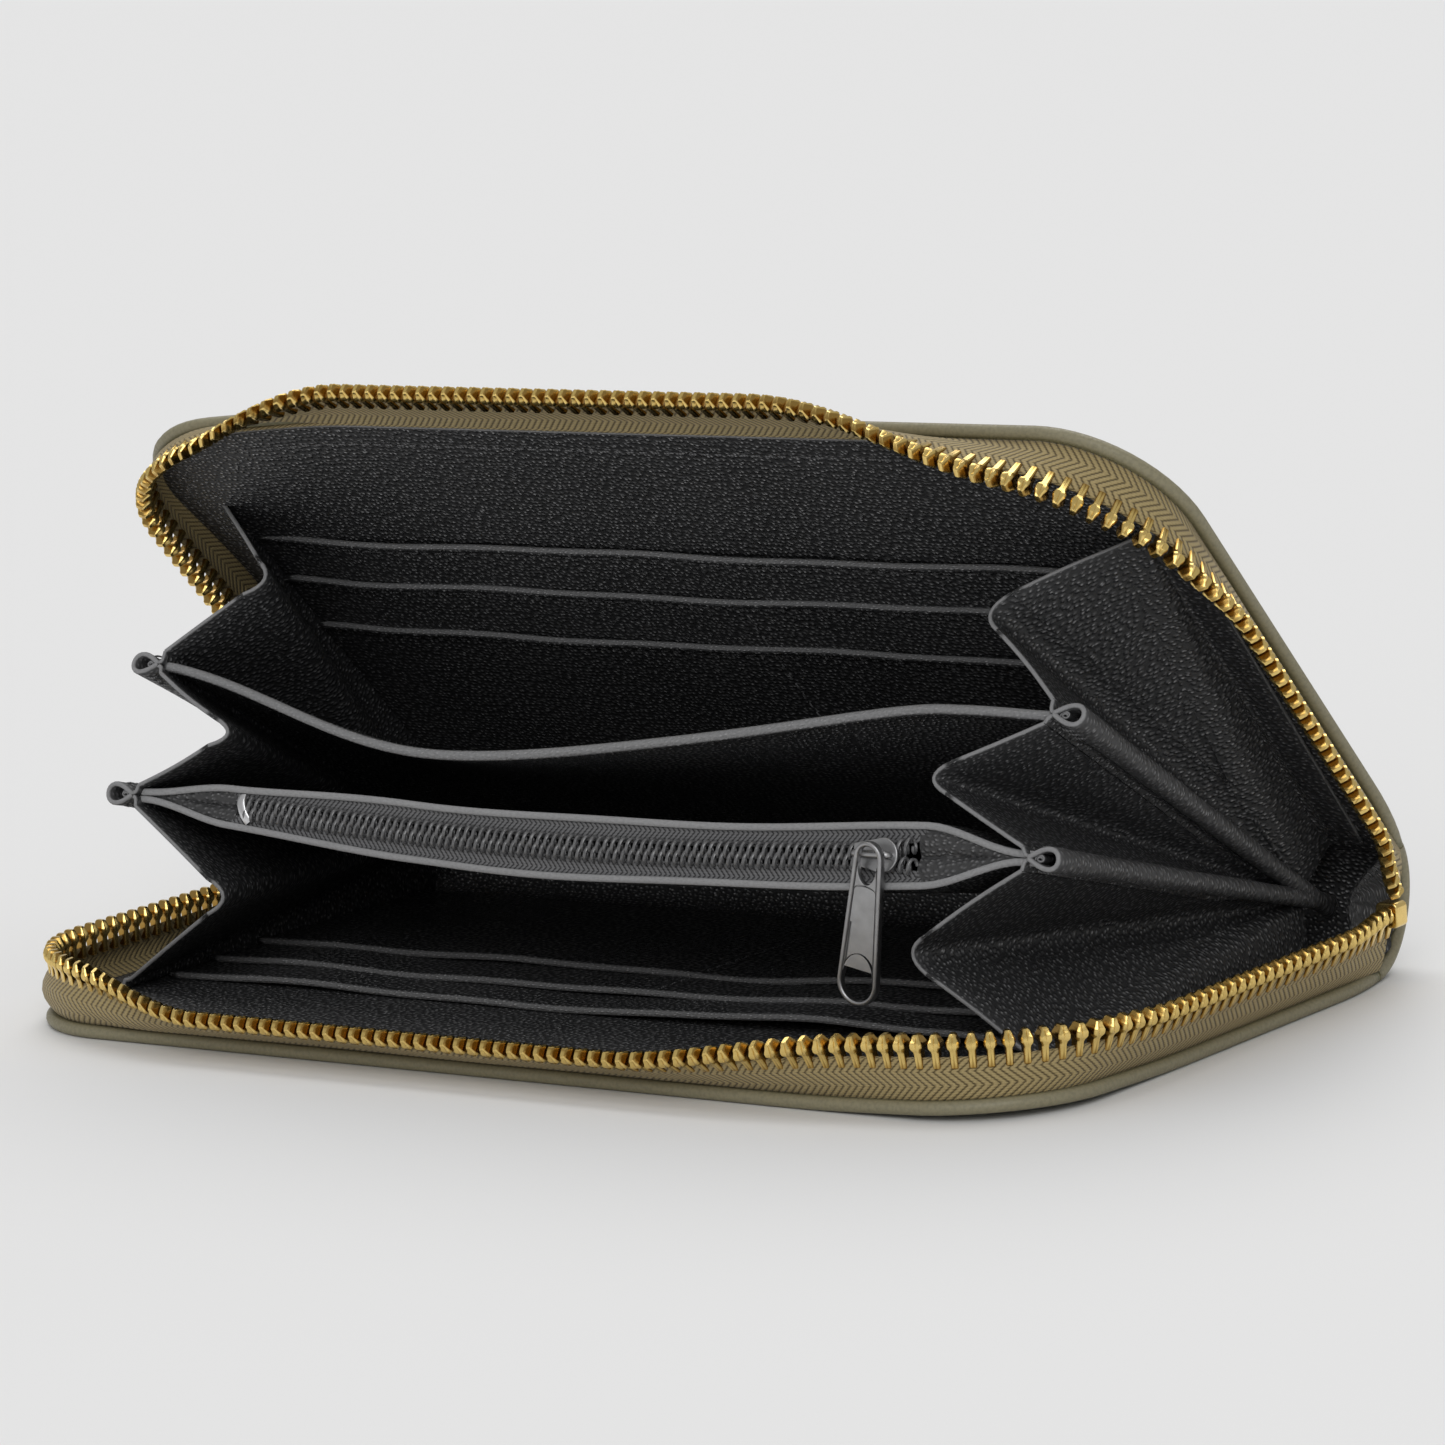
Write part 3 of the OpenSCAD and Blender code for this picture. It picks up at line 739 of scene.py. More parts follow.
def arc_place(angle, radius):
    """Y and Z of a place round the fold axis."""
    a = np.radians(angle)
    return np.stack([HINGE[1] + radius * np.cos(a), HINGE[2] + radius * np.sin(a)], -1)


def arc_ends(radius):
    """Where a sheet bent round the fold axis meets the lower and the upper cover."""
    first, last = arc_place(ARC_START, radius), arc_place(ARC_END, radius)
    return (0, *first), (0, *last)


def arc_grid(x, radius):
    """A sheet bent round the fold axis. radius may vary along x."""
    angles = np.linspace(ARC_START, ARC_END, 30)[:, None]
    yz = arc_place(angles + 0 * x[None, :], np.broadcast_to(radius, x.shape)[None, :])
    return np.concatenate([np.broadcast_to(x, yz.shape[:2])[..., None], yz], -1)


def pull_in(grid):
    """Draws the ends of a spine sheet in, most at the middle of its bend."""
    bow = COVER_PULL + SPINE_PULL * np.sin(np.pi * np.linspace(0, 1, len(grid)))[:, None]
    grid[..., 0] *= 1 - 2 * bow / COVER_W
    return grid


def make_spine():
    x = side_columns(COVER_W / 2 - EDGE_T / 2)
    t = edge_thickness(COVER_W / 2 - EDGE_T / 2 - np.abs(x))
    grid = pull_in(arc_grid(x, SHUT_HALF - t / 2))
    v = np.linspace(0, ARC_LEN, len(grid))[:, None] + 0 * x
    spine = sheet("spine_wrap_leather", OLIVE, grid, t, paired(x, v), (0, 1, 0, 1), (0, 1, 0, 1),
                  6, slot="outer_leather", replaces=["spine_leather"])
    blended(spine, "lower_cover", "upper_cover", *arc_ends(SHUT_HALF))

    x = side_columns(COVER_W / 2 - LINING_INSET)
    radius = -LINING_Z - LINING_T / 2
    lining = sheet("spine_inner_lining", BLACK, pull_in(arc_grid(x, radius)), LINING_T, None,
                   (0, 1, 0, 1), (0, 0.6, 0, 0.6), slot="inner_leather",
                   replaces=["spine_lining"])
    blended(lining, "lower_cover", "upper_cover", *arc_ends(radius))


TUCK_X = 90.5
TUCK_T = 0.6


def make_spine_ends():
    """The folded lining that closes each end of the spine."""
    radii = np.linspace(0.6, -LINING_Z - 0.4, 9)
    angles = np.linspace(ARC_START - 4, ARC_END + 4, 40)
    share = (radii / radii[-1])[None]
    for side, word in SIDE_NAMES.items():
        pleat = 0.5 * np.sin(np.radians(angles) * 11)[:, None] * share
        x = side * (TUCK_X + 3.2 * share ** 2 + pleat)
        yz = arc_place(angles[:, None] + 0 * radii[None], radii[None])
        grid = np.concatenate([x[..., None], yz], -1)
        obj = sheet(f"spine_end_tuck_{word}", SOFT_BLACK, grid, TUCK_T, None, NO_SIDE, NO_SIDE,
                    slot="inner_leather")
        blended(obj, "lower_cover", "upper_cover", *arc_ends(radii[-1]))


def make_lining(half):
    x, dist = cover_grid(LINING_INSET, 0.6)
    depth = outline_depth(x, dist, LINING_INSET)
    groove = 0.12 * np.exp(-(((depth - SEAM_INSET + LINING_INSET) / 0.8) ** 2))
    t = LINING_T + 0.25 * smooth(depth / 2) - 0.25
    z = LINING_Z + LINING_T / 2 - groove + curl(half, x, dist)
    grid = HALVES[half](np.stack([x, -dist, z], -1))
    sheet(f"{half}_lining_leather", BLACK, grid, t, paired(x, dist), (0, 1, 1, 1),
          (0, 0.7, 0.7, 0.7), body=f"{half}_cover", slot="inner_leather",
          replaces=[f"{half}_lining"])


def seam_line(inset, z):
    """Round a cover, parallel to its edge, from one end of the spine to the other."""
    r = CORNER_R - inset
    half_w = COVER_W / 2 - inset
    straight = COVER_D - CORNER_R
    a = np.radians(np.linspace(0, 90, 20))
    right = np.stack([half_w - r + r * np.cos(a), -straight - r * np.sin(a)], 1)
    line = np.r_[[[half_w, -5.0]], right, right[::-1] * [-1, 1], [[-half_w, -5.0]]]
    return np.c_[line, np.full(len(line), z)]


def make_edge_seams(half):
    """The stitches round a cover, on its lining and on its outer leather."""
    inside = facing(HALVES[half])
    for layer, z, normal, material, slot in (
            ("lining", LINING_Z + LINING_T - 0.12, inside, THREAD, "inner_leather"),
            ("outer", -SHUT_HALF + 0.03, -inside, OLIVE_THREAD, "outer_leather")):
        line = resample(seam_line(SEAM_INSET, z), 400)
        line[:, 2] += curl(half, line[:, 0], -line[:, 1])
        stitches(f"{half}_{layer}_stitches", HALVES[half](line), normal, f"{half}_cover",
                 material, slot)


def pocket_puff(half, x, dist, layer):
    """How far a loose card pocket stands off the lining."""
    fall = smooth(dist / 45)
    wave = 0.22 * np.sin(x / 13 + 1.7 * layer) + 0.13 * np.sin(x / 5.3 + layer)
    ends = smooth((POCKET_HALF_W - np.abs(x)) / 18)
    rise = 0.35
    if half == "lower":
        rise = 1.7 * smooth((x - 2) / 42) * smooth((POCKET_HALF_W - x) / 22)
    return fall * ends * (rise + 0.35 + wave)


FOLD_T = 0.62
FOLD_SEAM = 1.75
CENTRE_SEAM_X = {"lower": 1.5, "upper": 5.0}


def pocket_sheet(half, layer, x, dist):
    """Middle and thickness of a card pocket's leather, with its folded and stitched edge."""
    e = POCKET_EDGES[layer] - dist
    groove = 0.16 * np.exp(-(((e - FOLD_SEAM) / 0.45) ** 2))
    t = POCKET_T + FOLD_T * np.exp(-((e / 1.0) ** 4)) - groove
    z = POCKET_Z + layer * POCKET_T + t / 2 + pocket_puff(half, x, dist, layer)
    return z, t


def make_pockets(half):
    place = HALVES[half]
    cover = f"{half}_cover"
    inside = facing(place)
    x = np.linspace(-POCKET_HALF_W, POCKET_HALF_W, 88)
    near = np.array([0, 0.25, 0.55, 0.85, 1.1, 1.4, FOLD_SEAM, 2.1, 2.6, 3.6, 5.5, 8.0])
    for layer, (name, edge) in enumerate(zip(["slip", "middle", "front"], POCKET_EDGES)):
        node = f"{half}_{name}_pocket"
        xx, dd = np.meshgrid(x, edge - np.r_[near, np.linspace(11, edge - POCKET_ROOT, 8)])
        z, t = pocket_sheet(half, layer, xx, dd)
        # The folded front edge takes 0.55 of the pale cut colour: a painted highlight along the fold
        sheet(f"{node}_leather", BLACK, place(np.stack([xx, -dd, z], -1)), t,
              paired(xx, dd + 31 * layer), (1, 0.5, 0, 0.5), (0.55, 0, 0, 0), 6,
              body=cover, slot="inner_leather", replaces=[node])
        dist = edge - FOLD_SEAM
        z, t = pocket_sheet(half, layer, x, dist)
        line = np.stack([x, 0 * x - dist, z + t / 2 + 0.02], 1)[1:-1]
        stitches(f"{node}_stitches", place(resample(line, 200)), inside, cover, THREAD)
    seam_x = CENTRE_SEAM_X[half]
    line = []
    for dist in np.linspace(POCKET_EDGES[1] - 0.6, 14, 60):
        z, t = pocket_sheet(half, 2 if dist < POCKET_EDGES[2] else 1, seam_x, dist)
        line.append((seam_x, -dist, z + t / 2 + 0.03))
    stitches(f"{half}_centre_seam", place(line), inside, cover, THREAD)


def make_board(half):
    """The stiff board between a cover's leather and its lining."""
    low, high = mm_box("lower_board")
    inset = (COVER_W - (high[0] - low[0])) / 2
    x, dist = cover_grid(inset, HINGE[1] - high[1])
    z = (low[2] + high[2]) / 2 - HINGE[2] + curl(half, x, dist)
    sheet(f"{half}_stiff_board", BOARD, HALVES[half](np.stack([x, -dist, z], -1)),
          high[2] - low[2] - 0.05, body=f"{half}_cover", slot="board", replaces=[f"{half}_board"])


# ---- Main zip ----

PATH_STRAIGHT = COVER_D - CORNER_R
PATH_R = CORNER_R - TAPE_INSET
PATH_BEND = PATH_R * math.pi / 2
PATH_MOUTH = COVER_W - 2 * CORNER_R
PATH_LEN = 2 * (PATH_STRAIGHT + PATH_BEND) + PATH_MOUTH
PATH_MARGIN = 10.0
SPLAY_FULL = 16
SPLAY_FADE = 30
SPLAY_END = 92
KEPT_FROM = 26
BELLY_END = PATH_LEN - 40


def zip_path(s):
    """Place and outward direction at a run s along the zip, from the right end of the spine."""
    s = np.asarray(s, float)
    right = s <= PATH_LEN / 2
    run = np.where(right, s, PATH_LEN - s)
    side_x = COVER_W / 2 - TAPE_INSET
    a = np.clip((run - PATH_STRAIGHT) / PATH_R, 0, np.pi / 2)
    past = np.clip(run - PATH_STRAIGHT - PATH_BEND, 0, None)
    x = side_x - PATH_R + PATH_R * np.cos(a) - past
    y = -np.minimum(run, PATH_STRAIGHT) - PATH_R * np.sin(a)
    flip = np.where(right, 1, -1)
    return np.stack([x * flip, y], -1), np.stack([np.cos(a) * flip, -np.sin(a)], -1)


def run_at_x(x):
    """The run along the zip at which it passes x on the mouth's side."""
    dense = np.linspace(PATH_MARGIN, PATH_LEN - PATH_MARGIN, 4000)
    return np.interp(-x, -zip_path(dense)[0][:, 0], dense)


class ZipHalf:
    """One half of the main zip, whose mouth part leans outwards while the wallet stands open.

    left and right say where along X the lean starts and where it is full. splay and drop say
    how far the right side stands outwards and sinks, and belly how far the left side bulges.
    """

    def __init__(self, half, left, right, splay, drop, belly):
        self.half = half
        self.splay, self.drop, self.belly = splay, drop, belly
        self.joint = JOINTS[f"{half}_mouth_zip_lean"]
        self.angle = OPEN_ANGLE * RATIO[self.joint["name"]]
        self.left, self.right = left, right
        cover, mouth = f"{half}_cover", f"{half}_mouth_zip"
        turns = [0.0, PATH_STRAIGHT, run_at_x(right[0]), run_at_x(right[1]),
                 run_at_x(left[1]), run_at_x(left[0]), PATH_LEN]
        names = ["right_side", "right_bend", "right_turn", "mouth", "left_turn", "left_side"]
        bodies = [cover, cover, None, mouth, None, cover]
        self.parts = list(zip(names, turns[:-1], turns[1:], bodies))
        self.ends = {"right_turn": (cover, mouth, *right), "left_turn": (cover, mouth, *left)}

    def side_share(self, s):
        """How much the right side of the zip is splayed outwards at a run s."""
        s = np.asarray(s)
        return (0.5 + 0.5 * smooth(s / SPLAY_FULL)) * smooth((SPLAY_END - s) / SPLAY_FADE)

    def shut_share(self, s):
        """How much of the splay stays when the wallet is shut."""
        return max(float(smooth((s - KEPT_FROM) / (PATH_STRAIGHT - KEPT_FROM))), 0.05)

    def stand(self, s, n, z):
        """Upright points at a run s, n outside the zip's middle and at a height z."""
        place, out = zip_path(s)
        share = self.side_share(s)
        tall = np.clip((z - TAPE_FOOT_Z) / -TAPE_FOOT_Z, 0, 1.1)
        shift = n + share * self.splay * tall
        xy = place + out * shift[..., None]
        left_share = smooth((s - PATH_LEN + 130) / 20) * smooth((BELLY_END - s) / 40)
        bulge = self.belly * left_share * np.sin(np.pi * np.clip(tall * 1.45, 0, 1))
        xy = xy + out * bulge[..., None]
        rise = curl(self.half, xy[..., 0], -xy[..., 1]) * (1 - np.clip(tall * 1.3, 0, 1))
        return np.concatenate([xy, (z + rise - share * self.drop * tall)[..., None]], -1)

    def tooth_place(self, s, points):
        """Where one tooth's points are. The tooth leans with the tape but keeps its shape."""
        share = float(self.side_share(s))
        lean = unit([share * self.splay, -TAPE_FOOT_Z - share * self.drop])
        out, up = points[:, 1], points[:, 2] - TAPE_EDGE_Z
        foot = self.stand(s - points[:, 0], 0 * out, TAPE_EDGE_Z + 0 * out)
        _, normal = zip_path(s - points[:, 0])
        foot[:, :2] += normal * (out * lean[1] + up * lean[0])[:, None]
        foot[:, 2] += up * lean[1] - out * lean[0]
        return self.lean(foot)

    def place(self, s, n, z):
        """Where points of the zip are in the row frame with the wallet open."""
        s, n, z = np.broadcast_arrays(np.asarray(s, float), n, z)
        return self.lean(self.stand(s, n, z))

    def lean(self, upright):
        """Turns upright points outwards about the lean's axis, fully at the middle of the mouth."""
        stood = HALVES[self.half](upright)
        x = stood[..., 0]
        share = 1.0
        for start, end in (self.left, self.right):
            share = share * smooth((x - start) / (end - start))
        return turn_about(stood, np.array(self.joint["pos_m"]) / MM, self.joint["axis"],
                          self.angle * share)

    def hold(self, obj, name, body):
        """Rides a part on its body; a turn between its cover and the mouth has none and stays where
        it is drawn.
        """
        if body:
            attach(obj, body)
        else:
            a, b, start, end = self.ends[name]
            blended(obj, a, b, (start, 0, 0), (end, 0, 0))


ZIP_HALVES = [
    ZipHalf("lower", (-89.0, -50.0), (91.0, 27.0), splay=5.2, drop=0.9, belly=1.6),
    ZipHalf("upper", (-90.0, -46.0), (92.0, 32.0), splay=7.4, drop=1.2, belly=0.4),
]

TAPE_ROWS = np.array([TAPE_FOOT_Z, -9.3, -8.5, -7.5, -6.5, -5.5, -4.5, -3.7, TAPE_EDGE_Z])
SPLAYED_LENGTHS = 10


def make_tape(zip_half):
    """The woven tape. Its splayed part is made in short lengths."""
    half = zip_half.half
    swaps = {"mouth": [f"{half}_mouth_tape"], "left_side": [f"{half}_side_tapes"]}
    for name, start, end, body in zip_half.parts:
        cuts = [max(start, 0.5), min(end, PATH_LEN - 0.5)]
        if name == "right_side":
            cuts = list(np.linspace(*cuts, SPLAYED_LENGTHS + 1))
        for number, (first, last) in enumerate(zip(cuts, cuts[1:]), 1):
            s = np.linspace(first, last, int((last - first) / 1.3) + 5)
            belly = 0.35 * np.sin(np.pi * (TAPE_ROWS - TAPE_FOOT_Z) / (TAPE_EDGE_Z - TAPE_FOOT_Z))
            n = belly[:, None] * (1 + 0.5 * np.sin(s / 9.0))
            z = np.broadcast_to(TAPE_ROWS[:, None], n.shape)
            label = f"{half}_zip_tape_{name}" + (f"_{number}" if len(cuts) > 2 else "")
            obj = sheet(label, KHAKI_TAPE, zip_half.place(s, n, z), TAPE_T,
                        paired(s, z - TAPE_FOOT_Z), (0.5, 0, 1, 0), NO_SIDE, slot="zip_tape",
                        replaces=swaps.get(name, []))
            zip_half.hold(obj, name, body)
            if len(cuts) > 2:
                zip_half.shut_share((first + last) / 2)
                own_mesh(obj)


def make_tape_foot(half):
    """The part of the tape that is sewn in between the outer leather and the lining."""
    s = np.linspace(4.0, PATH_LEN - 4.0, 300)
    place, out = zip_path(s)
    drop = [(-3.2, LINING_Z - 0.15), (-1.2, LINING_Z - 0.1), (-0.4, LINING_Z + 0.02),
            (0.0, TAPE_FOOT_Z + 0.1)]
    rows = np.stack([np.c_[place + out * n, np.full(len(s), z)] for n, z in drop])
    rows[..., 2] += curl(half, rows[..., 0], -rows[..., 1])
    grid = HALVES[half](rows)
    sheet(f"{half}_zip_tape_foot", KHAKI_TAPE, grid, TAPE_T, paired(s, grid[..., 1]), ALL_SIDES,
          NO_SIDE, body=f"{half}_cover", slot="zip_tape")


# Height on the tooth, half its width along the zip and half its depth.
TOOTH_SECTIONS = [
    (-4.6, 0.42, 0.5), (-4.45, 0.52, 0.66), (-2.3, 0.52, 0.8), (-1.9, 0.56, 0.95),
    (-1.55, 0.8, 1.18), (-1.3, 0.88, 1.28), (-0.75, 0.88, 1.28), (-0.45, 0.76, 1.15),
    (-0.1, 0.58, 0.95), (0.3, 0.5, 0.8), (0.5, 0.34, 0.6),
]


def tooth_solid():
    """One tooth: two legs that clamp the tape and a wide head. X along the zip, Y outwards."""
    rings, edge = [], []
    for z, a, b in TOOTH_SECTIONS:
        c = 0.3 * a
        hollow = 0.3 * smooth((z + 1.7) / 0.5) * smooth((0.5 - z) / 0.6)
        side = [(a, b - 1.4 * c), (a - c, b), (0.3 * a, b - 0.4 * hollow), (0, b - hollow),
                (-0.3 * a, b - 0.4 * hollow), (c - a, b), (-a, b - 1.4 * c)]
        ring = side + [(-x, -y) for x, y in side]
        rings.append([(x, y, z) for x, y in ring])
        # edge falls towards the legs, in the head's middle groove and at its sides: there the brass
        # gets painted shade
        head = 0.35 + 0.65 * smooth((z + 4.4) / 2.4)
        edge += [head * (0.5 if x == 0 else 0.3 if abs(x) == a else 1.0) for x, _ in ring]
    points, faces = lofted(rings)
    return points, faces, np.array(edge)


TEETH_PER_GROUP = 3


def make_teeth(zip_half):
    """A row of brass teeth. The two rows are half a pitch apart, so that they mesh when shut.

    Splayed teeth are made in small groups.
    """
    half = zip_half.half
    points, faces, edge = tooth_solid()
    uvs = [[points[i][:2] for i in f] for f in faces]
    swaps = {"mouth": [f"{half}_mouth_teeth"], "left_side": [f"{half}_side_teeth"]}
    first = TOOTH_START + (0 if half == "lower" else TOOTH_PITCH / 2)
    runs = np.arange(first, PATH_LEN - TOOTH_START, TOOTH_PITCH)
    for name, start, end, body in zip_half.parts:
        row = runs[(runs >= start) & (runs < end)]
        splayed = name == "right_side"
        groups = [row]
        if splayed:
            groups = np.array_split(row, math.ceil(len(row) / TEETH_PER_GROUP))
        for number, group in enumerate(groups, 1):
            shape = Shape()
            for s in group:
                shape.add(zip_half.tooth_place(s, points), faces, uvs, edge)
            label = f"{half}_zip_teeth_{name}" + (f"_{number}" if splayed else "")
            obj = piece(label, shape, BRASS, slot="brass", replaces=swaps.get(name, []), sharp=30)
            zip_half.hold(obj, name, body)
            if splayed:
                shift = zip_half.splay * zip_half.side_share(group.mean())
                left_over = shift * zip_half.shut_share(group.mean())
                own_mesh(obj)


# ---- Gussets and pinched folds ----


def ridge_dir(side, angle):
    """Direction of an outward fold from its fan's apex."""
    a = math.radians(angle)
    return unit([side * (RIDGE_X - APEX_X) / RIDGE_LEN, -math.cos(a), math.sin(a)])


def valley_dir(side, p, q, sector):
    """Direction of the inward fold at the same sector angle from two outward folds."""
    middle = unit(p + q)
    across = np.array([-side, 0.0, 0.0])
    inward = unit(across - middle * (middle @ across))
    half_gap = math.acos(p @ q) / 2
    depth = math.acos(math.cos(math.radians(sector)) / math.cos(half_gap))
    return middle * math.cos(depth) + inward * math.sin(depth)


RHO = np.r_[3.0, 6.0, 10.0, np.linspace(15, RIDGE_LEN + 0.5, 22)]
GUSSET_SIDES = (0, 0, 0.8, 0)
SEWN_DOWN = {(1, "a"): "lower", (3, "b"): "upper"}


def taper(rho, gap):
    """A gap that closes towards the fan's apex."""
    return gap * np.minimum(1, rho / 24)


def ridge_x(rho):
    """How far from the middle an outward fold is, at a distance from the fold axis."""
    return APEX_X + (RIDGE_X - APEX_X) * rho / RIDGE_LEN


def along_fold(grid):
    """UVs of a strip whose rows lie at the distances RHO from the fan's apex."""
    return paired(run_lengths(grid, 1), RHO[:, None])


class Gusset:
    """One inward fold of the fan at one end of the wallet, between two outward folds."""

    def __init__(self, side, index):
        self.side, self.index = side, index
        self.apex = np.array([side * APEX_X, HINGE[1], HINGE[2]])
        self.p = ridge_dir(side, RIDGE_ANGLES[index - 1])
        self.q = ridge_dir(side, RIDGE_ANGLES[index])
        self.v = valley_dir(side, self.p, self.q, PANEL_SECTORS[index - 1])
        self.name = f"gusset_{SIDE_NAMES[side]}_{index}"
        self.wave = 0.5 * side * (1 if index == 2 else -1)

    def valley_rho(self, rho):
        return rho * VALLEY_LEN / RIDGE_LEN

    def panel_line(self, ridge, rho):
        """Where the flat part of a panel begins, beside its outward fold."""
        toward = unit(self.v - ridge * (ridge @ self.v))
        return self.apex + rho[:, None] * ridge + taper(rho, 3.4)[:, None] * toward

    def valley_line(self, ridge, rho):
        toward = unit(ridge - self.v * (ridge @ self.v))
        rho = self.valley_rho(rho)
        return self.apex + rho[:, None] * self.v + taper(rho, 5.0)[:, None] * toward

    def panel(self, letter, ridge):
        """The flat part between an outward fold and the inward fold."""
        start, end = self.panel_line(ridge, RHO), self.valley_line(ridge, RHO)
        f = np.linspace(0, 1, 9)
        grid = start[:, None] + (end - start)[:, None] * f[None, :, None]
        normal = unit(np.cross(ridge, self.v))
        belly = np.sin(np.pi * f)[None, :] * (0.35 * self.wave * smooth(RHO / 76)[:, None]
                                              + 0.16 * np.sin(RHO / 6.5)[:, None])
        grid = grid + belly[..., None] * normal
        body = f"{self.name}{letter}"
        self.strip(f"{body}_panel", grid, body=body, replaces=[body])

    def strip(self, name, grid, **where):
        return sheet(name, SOFT_BLACK, grid, PANEL_T, along_fold(grid), GUSSET_SIDES,
                     GUSSET_SIDES, slot="inner_leather", **where)

    def valley(self):
        """The rounded inward fold between the two panels."""
        a, b = self.valley_line(self.p, RHO), self.valley_line(self.q, RHO)
        crease = self.apex + (self.valley_rho(RHO) + 0.3)[:, None] * self.v
        crease = crease + 0.35 * (crease - (a + b) / 2)
        t = np.linspace(0, 1, 9)[None, :, None]
        grid = a[:, None] * (1 - t)**2 + crease[:, None] * 2 * t * (1 - t) + b[:, None] * t**2
        obj = self.strip(f"{self.name}_inward_fold", grid)
        blended(obj, f"{self.name}a", f"{self.name}b", a[-4], b[-4])

    def join(self, letter, ridge, target, body):
        """The strip that joins a panel to what it is sewn to, along its outward fold."""
        panel = f"{self.name}{letter}"
        start = self.panel_line(ridge, RHO)
        grid = chaikin(np.stack([start, *target])).transpose(1, 0, 2)
        obj = self.strip(f"{panel}_outward_fold", grid)
        if body:
            blended(obj, body, panel, target[0][-4], start[-4])
        else:
            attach(obj, panel)


def make_gussets():
    for side in SIDE_NAMES:
        outward = np.array([side, 0, 0.0])
        for index in (1, 2, 3):
            fan = Gusset(side, index)
            fan.valley()
            for letter, ridge, below in (("a", fan.p, -1), ("b", fan.q, 1)):
                fan.panel(letter, ridge)
                at = fan.apex + RHO[:, None] * ridge
                if (index, letter) in SEWN_DOWN:
                    sew_flange(fan, letter, ridge, at, SEWN_DOWN[index, letter])
                    continue
                rise = unit(np.cross(ridge, outward)) * side
                rise = rise if rise[2] > 0 else -rise
                target = [at - taper(RHO, gap)[:, None] * outward - sink * below * rise
                          for gap, sink in ((2.6, 0.35), (1.7, 0.3))]
                body = "coin_pocket" if (index, letter) == (2, "a") else None
                fan.join(letter, ridge, target, body)


def sew_flange(fan, letter, ridge, at, half):
    """The gusset's foot: it stands on the lining and turns outwards to be sewn down."""
    base = LINING_Z + LINING_T + PANEL_T / 2
    rows = [at]
    for out, z in ((0.5, INNER_Z + 0.3), (0.9, base), (3.0, base), (6.6, base)):
        x = fan.side * ridge_x(RHO) + out * fan.side
        rows.append(HALVES[half](np.stack([x, -RHO, np.full(len(RHO), z)], -1)))
    start = fan.panel_line(ridge, RHO)
    grid = chaikin(np.stack([start, *rows])).transpose(1, 0, 2)
    fins = [f"{half}_gusset_fins"] if fan.side > 0 else []
    obj = sheet(f"{fan.name}{letter}_foot", SOFT_BLACK, grid, PANEL_T, along_fold(grid),
                (0, 0.6, 0.8, 0), (0, 0.6, 0.8, 0), slot="inner_leather", replaces=fins)
    blended(obj, f"{half}_cover", f"{fan.name}{letter}", at[-4], start[-4])


PINCH_T = 0.8
# Distance from the fold axis, and the pinch's size there.
PINCH_SIZES = [(-5.6, 0.12), (-5.2, 0.4), (-4.4, 0.56), (-2.5, 0.68), (0, 0.74), (40, 0.9),
               (76.5, 1.12)]


def make_pinch(side, number, name, body):
    """The doubled gusset edge, pinched round the side of a divider and stitched at its front."""
    ridge = ridge_dir(side, RIDGE_ANGLES[number])
    apex = np.array([side * APEX_X, HINGE[1], HINGE[2]])
    out = unit(np.array([side, 0, 0.0]) - ridge * ridge[0] * side)
    up = np.cross(ridge, out) * side
    up = up if up[2] > 0 else -up
    rho = np.r_[-5.6, -5.2, -4.4, -2.5, np.linspace(0, RIDGE_LEN + 0.6, 26)]
    size = np.interp(rho, *zip(*PINCH_SIZES))
    phi = np.linspace(0.12, 2 * np.pi - 0.12, 25)
    across = -2.3 * np.cos(phi) + 0.5
    high = 1.75 * np.sin(phi) * np.sin(phi / 2) ** 1.2
    ring = across[:, None] * out + high[:, None] * up
    wave = 1 + 0.03 * np.sin(rho / 3.7 + side)
    grid = apex + rho[:, None, None] * ridge + (size * wave)[:, None, None] * ring[None]
    label = f"{name}_pinch_{SIDE_NAMES[side]}"
    swaps = [f"{body}_piping"] if side > 0 else []
    parts = [sheet(label, PIPING, grid, PINCH_T, paired(run_lengths(grid, 1), rho[:, None]),
                   (0.6, 0.4, 0.9, 0.4), (0, 0, 0.9, 0), body=body, slot="inner_leather",
                   replaces=swaps)]

    spiral = np.linspace(0, 3.2 * np.pi, 26)
    radius = 0.28 + 0.055 * spiral
    curl = np.stack([radius * np.cos(spiral) - 0.15, 0.72 * radius * np.sin(spiral)], 1)
    run = np.linspace(RIDGE_LEN - 12, RIDGE_LEN + 0.2, 6)
    grid = (apex + run[:, None, None] * ridge
            + (curl[:, :1] * out + curl[:, 1:] * up)[None])
    parts.append(sheet(f"{label}_roll", SOFT_BLACK, grid, 0.34, None, (0, 0.6, 0.8, 0.6),
                       (0, 0, 0.8, 0), 3, body=body, slot="inner_leather"))

    tack = Shape()
    points, faces = stitch_solid(2.3, 0.2)
    for k in range(3):
        rho_k = RIDGE_LEN - 1.0 - 1.5 * k
        for way in (1, -1):
            at = apex + rho_k * ridge + (0.2 + 0.15 * k) * out + way * 1.78 * up
            instances(tack, points, faces, [(at, out, ridge * way, up * way)])
    parts.append(piece(f"{label}_stitches", tack, THREAD, body, "inner_leather"))
    for part in parts:
        tuple(up)
        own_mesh(part)


# ---- Bill divider ----


DIVIDER_TRIM = 1.6
DIVIDER_T = 0.8
DIVIDER_FOLD_T = 0.75
DIVIDER_SEAM = 2.1
BILL_SAG = 11.4
BILL_SAG_X = -24
BILL_SAG_FROM = 17


def bill_place(points):
    return swing(points, RIDGE_ANGLES[2])


